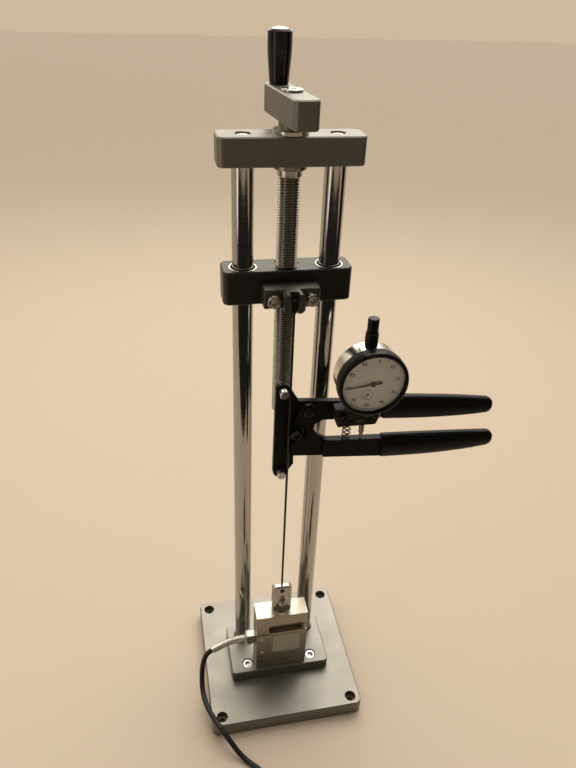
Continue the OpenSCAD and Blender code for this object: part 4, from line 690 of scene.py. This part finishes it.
# %% Thread tree
SIDES, STEPS = 48, 6
END_ROOM, WELD = 0.00002, 0.00001
thread, start = start_tree("screw_thread", Foot="Float", Length="Float", Pitch="Float",
        Crest="Float", Root="Float", Turns="Int")
spot = put(thread, "ShaderNodeSeparateXYZ", {"Vector": put(thread, "GeometryNodeInputPosition")})
sums = {}
for name, operation, *terms in [
        ("rows", "ADD", start["Turns"], 3.0),
        ("rows", "MULTIPLY", "rows", STEPS),
        ("row points", "ADD", "rows", 1.0),
        # Which column and which row of the sheet a point belongs to.
        ("column", "ADD", spot.outputs["X"], SIDES / 2),
        ("half", "MULTIPLY", "rows", 0.5),
        ("row", "ADD", spot.outputs["Y"], "half"),
        ("row", "ROUND", "row"),
        # How far round and how far up that is.
        ("around", "MULTIPLY", "column", 1 / SIDES),
        ("turn", "MULTIPLY", "row", 1 / STEPS),
        ("turn", "ADD", "turn", "around"),
        ("turn", "ADD", "turn", -2.0),
        ("rise", "MULTIPLY", "turn", start["Pitch"]),
        # The tooth, which only rises between the two ends.
        ("above foot", "GREATER_THAN", "rise", END_ROOM),
        ("head", "SUBTRACT", start["Length"], END_ROOM),
        ("below head", "LESS_THAN", "rise", "head"),
        ("inside", "MULTIPLY", "above foot", "below head"),
        ("tooth", "FLOORED_MODULO", "row", STEPS),
        ("tooth", "ADD", "tooth", -2.5),
        ("tooth", "ABSOLUTE", "tooth"),
        ("depth", "SUBTRACT", start["Crest"], start["Root"]),
        # The first and the last row shrink to a point on the axis.
        ("after first", "GREATER_THAN", "row", 0.5),
        ("last row", "ADD", "rows", -0.5),
        ("before last", "LESS_THAN", "row", "last row"),
        ("no pole", "MULTIPLY", "after first", "before last"),
        ("angle", "MULTIPLY", "around", 2 * math.pi),
        ("cosine", "COSINE", "angle"),
        ("sine", "SINE", "angle")]:
    terms = [sums[term] if isinstance(term, str) else term for term in terms]
    sums[name] = put(thread, MATH, dict(enumerate(terms)), operation=operation)

sheet = put(thread, "GeometryNodeMeshGrid", {"Size X": SIDES, "Size Y": sums["rows"],
            "Vertices X": SIDES + 1, "Vertices Y": sums["row points"]})
held = put(thread, "ShaderNodeClamp", {"Value": sums["rise"], "Min": 0.0, "Max": start["Length"]})
height = put(thread, "ShaderNodeMapRange", {"Value": sums["tooth"], "From Min": 0.5,
        "From Max": 1.9, "To Min": 0.0, "To Max": sums["depth"]})
height = put(thread, MATH, {0: sums["inside"], 1: height}, operation="MULTIPLY")
radius = put(thread, MATH, {0: start["Root"], 1: height}, operation="ADD")
far = put(thread, MATH, {0: radius, 1: sums["no pole"]}, operation="MULTIPLY")
wrapped = put(thread, "ShaderNodeCombineXYZ", {
    "X": put(thread, MATH, {0: far, 1: sums["cosine"]}, operation="MULTIPLY"),
    "Y": put(thread, MATH, {0: far, 1: sums["sine"]}, operation="MULTIPLY"),
    "Z": put(thread, MATH, {0: held, 1: start["Foot"]}, operation="ADD")})
rolled = put(thread, "GeometryNodeSetPosition", {"Geometry": sheet, "Position": wrapped})
welded = put(thread, "GeometryNodeMergeByDistance", {"Geometry": rolled, "Distance": WELD})
end_tree(thread, welded)

# %% Lead screw
SCREW_FOOT, SCREW_TOP, NECK_TOP = 320.5, 516.5, 566.6
threaded = grown("threaded_part", thread, [(0, 0, 0)], sharp=80, Foot=SCREW_FOOT * MM,
        Length=(SCREW_TOP - SCREW_FOOT) * MM, Pitch=2 * MM, Crest=8 * MM, Root=6.7 * MM,
        Turns=98, Finish=oiled_steel)
threaded.data.transform(Matrix.Translation((0, COLUMN_Y * MM, 0)))
neck = skin("neck", lathe((5.98, SCREW_TOP - 1), (5.98, NECK_TOP - 0.3), (5.7, NECK_TOP)),
            oiled_steel, at_screw)
settle(merged("lead_screw_dressed", [threaded, neck]), "screw", "screw_steel", "lead_screw")

# %% [markdown]
# ## Bushing rings
# Each column runs in a bushing that is closed by a black rubber wiper. A bright
# retaining ring holds it at the top and at the bottom of the crosshead.

# %% Bushing rings
CROSS_FOOT, CROSS_TOP = 425.0, 451.0
for side, x in (("left", -COLUMN_X), ("right", COLUMN_X)):
    place = in_mm(Matrix.Translation((x * MM, COLUMN_Y * MM, 0)))
    rings = []
    for low in (CROSS_FOOT + 0.1, CROSS_TOP - 0.9):
        section = lathe((9.5, low), (10.7, low), (10.7, low + 0.6), (10.4, low + 0.8),
                (9.8, low + 0.8), (9.5, low + 0.6))
        rings.append(skin("ring", section, turned_steel, place, joined=True))
    settle(merged("retaining_rings_" + side, rings), "crosshead", "bright_steel")

# %% [markdown]
# ## Strain relief
# Where the cable leaves the load cell, a closely wound steel spring keeps it from
# kinking. The tree lays evenly spaced points on its route and makes the radius swell and
# sink with every loop of wire. It tapers a little towards the cable.

# %% Strain relief
relief, start = start_tree("wound_sleeve", Wide="Float", Narrow="Float", Loop="Float",
        Wire="Float")
line = put(relief, "GeometryNodeMeshToCurve", {"Mesh": start["Geometry"]})
spacing = put(relief, MATH, {0: start["Loop"], 1: 1 / 6}, operation="MULTIPLY")
even = put(relief, "GeometryNodeResampleCurve", {"Curve": line, "Length": spacing}, mode="LENGTH")
along = put(relief, "GeometryNodeSplineParameter").outputs
wave = put(relief, MATH, {0: along["Length"], 1: start["Loop"]}, operation="DIVIDE")
wave = put(relief, MATH, {0: wave, 1: 2 * math.pi}, operation="MULTIPLY")
wave = put(relief, MATH, {0: wave}, operation="COSINE")
wave = put(relief, MATH, {0: wave, 1: 1.0}, operation="ADD")
sink = put(relief, MATH, {0: start["Wire"], 1: 0.22}, operation="MULTIPLY")
sink = put(relief, MATH, {0: wave, 1: sink}, operation="MULTIPLY")
taper = put(relief, "ShaderNodeMapRange", {"Value": along["Factor"], "To Min": start["Wide"],
        "To Max": start["Narrow"]})
swell = put(relief, MATH, {0: taper, 1: sink}, operation="SUBTRACT")
ring = put(relief, "GeometryNodeCurvePrimitiveCircle", {"Resolution": 28, "Radius": 1.0})
tube = put(relief, "GeometryNodeCurveToMesh", {"Curve": even, "Profile Curve": ring,
        "Scale": swell, "Fill Caps": True})
end_tree(relief, tube)
sleeve_line = [p * MM for p in rounded_route(relief_route, POINTS_A_STEP)]
sleeve = grown("strain_relief_dressed", relief, sleeve_line, sharp=60, Wide=3.8 * MM,
        Narrow=3.4 * MM, Loop=1.3 * MM, Wire=1.1 * MM, Finish=relief_steel)
settle(sleeve, "stand", "relief_spring", "strain_relief")

# %% [markdown]
# ## Return spring
# A small compression spring opens the handles. Its end turns lie flat, so the tree winds
# a spiral and then shapes its climb: none over the end turns, even in between. The real
# spring shortens as the handles are squeezed, with its upper end held in the dial's clamp;
# this piece keeps one length.

# %% Return spring
coil, start = start_tree("compression_spring", Turns="Float", Radius="Float", Height="Float",
        Wire="Float")
spiral = put(coil, "GeometryNodeCurveSpiral", {"Resolution": 24, "Rotations": start["Turns"],
        "Start Radius": start["Radius"], "End Radius": start["Radius"], "Height": 0.0})
along = put(coil, "GeometryNodeSplineParameter").outputs["Factor"]
climb = put(coil, "ShaderNodeMapRange", {"Value": along, "From Min": 0.12, "From Max": 0.88,
        "To Min": 0.0, "To Max": start["Height"]})
lift = put(coil, "ShaderNodeCombineXYZ", {"Z": climb})
shaped = put(coil, "GeometryNodeSetPosition", {"Geometry": spiral, "Offset": lift})
wire = put(coil, "GeometryNodeCurvePrimitiveCircle", {"Resolution": 8, "Radius": start["Wire"]})
wound_wire = put(coil, "GeometryNodeCurveToMesh", {"Curve": shaped, "Profile Curve": wire,
        "Fill Caps": True})
end_tree(coil, wound_wire)
SPRING_X, SPRING_Z, SPRING_FOOT, SPRING_HEAD = 48.6, 0.9, -7.83, 11.4
spring = grown("return_spring_dressed", coil, [(0, 0, 0)], sharp=70, Turns=6.0, Radius=3.15 * MM,
        Height=(SPRING_HEAD - SPRING_FOOT - 1.1) * MM, Wire=0.55 * MM, Finish=black_oxide)
spring.data.transform(Matrix.Translation(at_meter(SPRING_X, SPRING_FOOT + 0.55, SPRING_Z)))
settle(spring, "meter", "dark_steel", "return_spring")
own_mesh(spring)

# %% [markdown]
# ## Dial
# The dial divides one turn of its needle into a hundred. Long, middle and short marks
# are printed on the outer ring, which turns with the bezel to set the zero, and a small
# counter on the fixed centre adds up whole turns. The marks are thin closed bars grown
# around a circle, their length chosen from their number. They are drawn 0.3 mm wide,
# wider than a printer would make them, so that they show at this distance. The numbers
# are the generic ones of any such dial. No name is printed.

# %% Graduations
marks, start = start_tree("graduations", Count="Int", Radius="Float", Long="Float",
        Middle="Float", Short="Float", Width="Float")
circle = put(marks, "GeometryNodeMeshCircle", {"Vertices": start["Count"],
        "Radius": start["Radius"]})
number = put(marks, "GeometryNodeInputIndex")
sums = {}
for name, operation, *terms in [
        ("of ten", "FLOORED_MODULO", number, 10.0),
        ("of ten", "LESS_THAN", "of ten", 0.5),
        ("of five", "FLOORED_MODULO", number, 5.0),
        ("of five", "LESS_THAN", "of five", 0.5),
        ("longer", "SUBTRACT", start["Long"], start["Middle"]),
        ("longer", "MULTIPLY", "of ten", "longer"),
        ("middle", "SUBTRACT", start["Middle"], start["Short"]),
        ("middle", "MULTIPLY", "of five", "middle"),
        ("added", "ADD", "longer", "middle"),
        ("length", "ADD", start["Short"], "added"),
        ("heading", "MULTIPLY", number, 2 * math.pi),
        ("heading", "DIVIDE", "heading", start["Count"])]:
    terms = [sums[term] if isinstance(term, str) else term for term in terms]
    sums[name] = put(marks, MATH, dict(enumerate(terms)), operation=operation)

PRINT_T = 0.04 * MM
bar_size = put(marks, "ShaderNodeCombineXYZ", {"X": 1.0, "Y": start["Width"], "Z": PRINT_T})
bar = put(marks, "GeometryNodeMeshCube", {"Size": bar_size})
inward = put(marks, "GeometryNodeTransform", {"Geometry": bar, "Translation": (-0.5, 0, 0)})
facing = put(marks, "ShaderNodeCombineXYZ", {"Z": sums["heading"]})
stretch = put(marks, "ShaderNodeCombineXYZ", {"X": sums["length"], "Y": 1.0, "Z": 1.0})
bars = put(marks, "GeometryNodeInstanceOnPoints", {"Points": circle, "Instance": inward,
        "Rotation": facing, "Scale": stretch})
end_tree(marks, bars)

def on_dial(x, y, z, degrees=0):
    """A place on the dial's face, in millimetres from its centre."""
    return DIAL_PLACE @ Matrix.Translation(Vector((x, y, z)) * MM) @ turned("Z", degrees)

# %% Numbers
# The bezel's zero stands ten degrees to the right of upright, as in the photograph.
ZERO_TURN = -10
NUMBER_RADIUS, NUMBER_HEIGHT = 19.6, 2.9

def printed(words, height, place):
    """Words as a thin closed mesh. The mesh is made before it is moved."""
    text = bpy.data.curves.new("number_" + words, "FONT")
    text.body = words
    text.size = height * 1.4 * MM
    text.align_x = "CENTER"
    text.align_y = "CENTER"
    text.extrude = 0.02 * MM
    text.offset = 0.06 * MM
    text.resolution_u = 3
    mesh = frozen(link(bpy.data.objects.new("number_" + words, text)))
    mesh.transform(place)
    mesh.materials.clear()
    mesh.materials.append(print_black)
    return link(bpy.data.objects.new("printed_" + words, mesh))

scale_marks = grown("scale_marks", marks, [(0, 0, 0)], Count=100, Radius=24.4 * MM, Long=2.8 * MM,
        Middle=2.1 * MM, Short=1.5 * MM, Width=0.3 * MM, Finish=print_black)
scale_marks.data.transform(on_dial(0, 0, FACE_Z + 0.01, 90 + ZERO_TURN))
numbers = []
for tens in range(10):
    angle = math.radians(90 + ZERO_TURN - 36 * tens)
    place = on_dial(NUMBER_RADIUS * math.cos(angle), NUMBER_RADIUS * math.sin(angle),
            FACE_Z + 0.01, ZERO_TURN)
    numbers.append(printed(str(10 * tens), NUMBER_HEIGHT, place))
settle(merged("scale_print", [scale_marks] + numbers), "bezel", "needle_black")

# %% Counter
COUNTER_X, COUNTER_Y = -3.8, -9.7
counter_marks = grown("counter_marks", marks, [(0, 0, 0)], Count=20, Radius=4.5 * MM, Long=1.3 * MM,
        Middle=1.0 * MM, Short=0.7 * MM, Width=0.2 * MM, Finish=print_black)
counter_marks.data.transform(on_dial(COUNTER_X, COUNTER_Y, FACE_Z + 0.01, 90))
section = lathe((4.62, -0.02), (4.78, -0.02), (4.78, 0.03), (4.62, 0.03))
counter_ring = skin("counter_ring", section, print_black,
        in_mm(on_dial(COUNTER_X, COUNTER_Y, FACE_Z)), joined=True)
settle(merged("counter_print", [counter_marks, counter_ring]), "meter", "needle_black")

# %% [markdown]
# ## Knurls
# The bezel is gripped with the fingers to set the zero, so its side carries fine ridges.
# The ring is turned, and the tree stands round bars along it.

# %% Knurls
knurl, start = start_tree("knurl", Count="Int", Radius="Float", Ridge="Float", Height="Float")
spots = put(knurl, "GeometryNodeMeshCircle", {"Vertices": start["Count"],
        "Radius": start["Radius"]})
ridge = put(knurl, "GeometryNodeMeshCylinder", {"Vertices": 8, "Radius": start["Ridge"],
        "Depth": start["Height"]})
ridges = put(knurl, "GeometryNodeInstanceOnPoints", {"Points": spots, "Instance": ridge})
end_tree(knurl, ridges)

BEZEL_SIDES = 96
BEZEL_PROFILE = [(26.5, 9.2), (27.5, 9.2), (27.9, 9.6), (27.9, 15.6), (28.3, 16.1), (28.3, 17.8),
        (27.9, 18.7), (27.1, 19.4), (26.2, 19.6), (25.5, 19.5), (25.05, 19.1),
        (25.0, 18.3), (25.8, 18.3), (25.8, 17.1), (25.3, 17.1), (25.3, 15.2), (26.5, 15.2)]
bezel_ring = skin("bezel_ring", lathe(*BEZEL_PROFILE, sides=BEZEL_SIDES), bezel_plastic,
        in_mm(DIAL_PLACE), joined=True)
bezel_ridges = grown("bezel_ridges", knurl, [(0, 0, 0)], sharp=50, Count=BEZEL_SIDES,
        Radius=27.82 * MM, Ridge=0.42 * MM, Height=5.4 * MM, Finish=bezel_plastic)
bezel_ridges.data.transform(on_dial(0, 0, 12.6))
settle(merged("dial_bezel_dressed", [bezel_ring, bezel_ridges]), "bezel", "bezel_black",
       "dial_bezel")

# %% [markdown]
# ## Crystal
# The dial's window is a disc of clear acrylic, domed a little for stiffness. The solid
# has a step near its rim, which doubles every number seen through it. Rings along one
# soft curve, without a step, keep the numbers single.

# %% Crystal
CRYSTAL_R, DOME_R, DOME_FOOT, DOME_RISE = 25.75, 24.7, 18.3, 0.6
rings = lathe((CRYSTAL_R, 17.1), (CRYSTAL_R, 18.25))
rings += [round_ring(r, DOME_FOOT + DOME_RISE * (1 - (r / DOME_R) ** 2))
          for r in (DOME_R, 23.5, 21.5, 19, 16, 13, 10, 7, 4, 1.5, 0.1)]
crystal = skin("dial_crystal_dressed", rings, dial_glass, in_mm(DIAL_PLACE), sharp=50)
settle(crystal, "bezel", "crystal", "dial_crystal")

# %% [markdown]
# ## Grips
# Both handles are dipped in liquid vinyl, which drains to the tip and leaves soft round
# forms without one straight line. Each grip is a row of ovals that follows its arm,
# rolls in at its open edge, and closes over the tip in a half round.

# %% Grips
GRIP_START = 80.0
TIP_R, ROLL_R = 7.5, 1.6

def grip(name, body, node, tip, start_y, slope, lift, middle_z):
    """A dipped grip from its open edge to its tip, in the meter's millimetres."""
    rings = []
    stations = [(GRIP_START + ROLL_R * (1 - math.cos(a)), 0.86 + 0.14 * math.sin(a))
                for a in (0, 0.4, 0.8, 1.2, math.pi / 2)]
    stations += [(GRIP_START + ROLL_R + i * (tip - 9.1 - GRIP_START) / 24, 1.0)
            for i in range(1, 25)]
    stations += [(tip - TIP_R + TIP_R * math.sin(a), math.cos(a))
            for a in [i * math.pi / 20 for i in range(1, 10)]]
    stations.append((tip - 0.01, 0.05))
    for x, share in stations:
        run = min(1, (x - GRIP_START) / (tip - TIP_R - GRIP_START))
        tall = 11.4 - 3.7 * run ** 2.6
        thick = 6.0 - 0.9 * run ** 3
        centre = start_y - slope * (x - GRIP_START) + lift * run ** 3
        ring = []
        for i in range(40):
            angle = 2 * math.pi * i / 40
            flat, high = [math.copysign(abs(part) ** 0.78, part)
                    for part in (math.cos(angle), math.sin(angle))]
            ring.append(at_meter(x, centre + tall * share * high,
                    middle_z + thick * share * flat) / MM)
        rings.append(ring)
    return settle(skin(name, rings, dipped_vinyl, sharp=60), body, "grip_rubber", node)

grip("upper_grip_dressed", "meter", "upper_grip", 180.6, 16.6, 0.086, 0.9, -6.1)
grip("lower_grip_dressed", "lever", "lower_grip", 184.1, -19.3, 0.05, 2.4, -0.2)

# %% [markdown]
# ## Label place
# The load cell's front carries a foil label beside its gauge cover. The photograph shows
# print there. The place is kept and left bare: a foil with a thin black border, for a
# label of the next user's own.

# %% Label place
def slab(name, low, high, finish):
    """A thin box between two corners in millimetres."""
    work = bmesh.new()
    bmesh.ops.create_cube(work, size=1)
    for vert in work.verts:
        vert.co = Vector([low[i] if vert.co[i] < 0 else high[i] for i in range(3)]) * MM
    return kept(name, work, finish)

FRONT_Y = -25.925
left, foot, right, head = -10.5, 49.5, 20.5, 77.0
foil = slab("foil", (left, FRONT_Y - 0.12, foot), (right, FRONT_Y + 0.1, head), label_foil)
lines = [slab("line", (a, FRONT_Y - 0.15, b), (c, FRONT_Y - 0.1, d), print_black)
         for a, b, c, d in [(left + 0.6, foot + 0.6, right - 0.6, foot + 1.2),
        (left + 0.6, head - 1.2, right - 0.6, head - 0.6),
        (left + 0.6, foot + 1.2, left + 1.2, head - 1.2),
        (right - 1.2, foot + 1.2, right - 0.6, head - 1.2)]]
settle(merged("label_place", [foil] + lines), "stand", "nickel")

# %% [markdown]
# ## Light and floor
# The photograph was taken under bright ceiling lamps with a dark room behind the viewer,
# so every top face shines and every front face is dark. A large soft light above and
# behind gives the tops their shine, one overhead draws the shadow, and the world is
# bright above and darker in front. Beyond the plain pale floor, rays from the camera see
# one pale tone. Two dark flags, like a photographer's black cards, stand for the dark
# room at the right and in front. Only reflections see them.

# %% World
world = bpy.data.worlds.new("studio")
bpy.context.scene.world = world
world.use_nodes = True
sky = world.node_tree
seen_way = put(sky, "ShaderNodeTexCoord").outputs["Generated"]
parts = put(sky, "ShaderNodeSeparateXYZ", {"Vector": seen_way})
upward = put(sky, "ShaderNodeMapRange", {"Value": parts.outputs["Z"], "From Min": -0.1,
        "From Max": 0.35, "To Min": 0.10, "To Max": 1.0})
backward = put(sky, "ShaderNodeMapRange", {"Value": parts.outputs["Y"], "From Min": -0.6,
        "From Max": 0.6, "To Min": 0.12, "To Max": 1.35})
level = put(sky, MATH, {0: upward, 1: backward}, operation="MULTIPLY")
gradient = sky.nodes["Background"]
gradient.inputs["Color"].default_value = colour("#fff3e2")
sky.links.new(level.outputs[0], gradient.inputs["Strength"])
plain = put(sky, "ShaderNodeBackground", {"Color": colour("#cdb99d"), "Strength": 1.0})
ray = put(sky, "ShaderNodeLightPath")
choice = put(sky, "ShaderNodeMixShader", {0: ray.outputs["Is Camera Ray"], 1: gradient, 2: plain})
sky.links.new(choice.outputs[0], sky.nodes["World Output"].inputs["Surface"])
print("world:", len(sky.nodes), "nodes")

# %% Lamps
def softbox(name, place, aim, width, height, power, tint):
    """An area lamp in metres and watts, aimed at a point."""
    data = bpy.data.lights.new(name, "AREA")
    data.shape = "RECTANGLE"
    data.size = width
    data.size_y = height
    data.energy = power
    data.color = colour(tint)[:3]
    lamp = link(bpy.data.objects.new(name, data))
    lamp.location = place
    lamp.rotation_euler = (Vector(aim) - Vector(place)).to_track_quat("-Z", "Y").to_euler()
    lamp.visible_camera = False
    print("lamp", name, power, "W")

softbox("back_box", (0.15, 1.0, 1.15), (0, 0, 0.35), 1.5, 0.9, 9, "#fffaf2")
softbox("overhead_box", (0.1, 0.35, 1.7), (0, 0, 0), 0.9, 0.9, 5, "#fffaf2")
softbox("left_strip", (-1.0, -0.5, 0.6), (0, 0, 0.3), 0.25, 1.2, 1.5, "#f8faff")

# %% Ceiling light
ceiling_data = bpy.data.lights.new("ceiling", "SUN")
ceiling_data.energy = 1.2
ceiling_data.angle = math.radians(50)
ceiling = link(bpy.data.objects.new("ceiling", ceiling_data))
ceiling.rotation_euler = Vector((-0.3, -0.45, -1)).to_track_quat("-Z", "Y").to_euler()
print("ceiling light", ceiling_data.energy)

# %% Dark flags
for name, place, tilt, spread in [
        ("dark_flag_right", (0.5, -0.08, 0.55), math.pi / 2, (1.1, 0.35, 1)),
        ("dark_flag_front", (-0.1, -1.0, 0.03), 0, (2.4, 1.3, 1))]:
    bpy.ops.mesh.primitive_plane_add(size=1, location=place, rotation=(0, tilt, 0))
    flag = bpy.context.object
    flag.name = name
    flag.scale = spread
    flag.data.materials.append(seal_rubber)
    flag.visible_camera = False
    flag.visible_diffuse = False
    flag.visible_transmission = False
    flag.visible_shadow = False
    print(name, "at", place)

# %% Floor
bpy.ops.mesh.primitive_plane_add(size=14)
floor = bpy.context.object
floor.name = "floor"
floor.data.materials.append(floor_paper)
print("floor", floor.dimensions.x, "m wide")
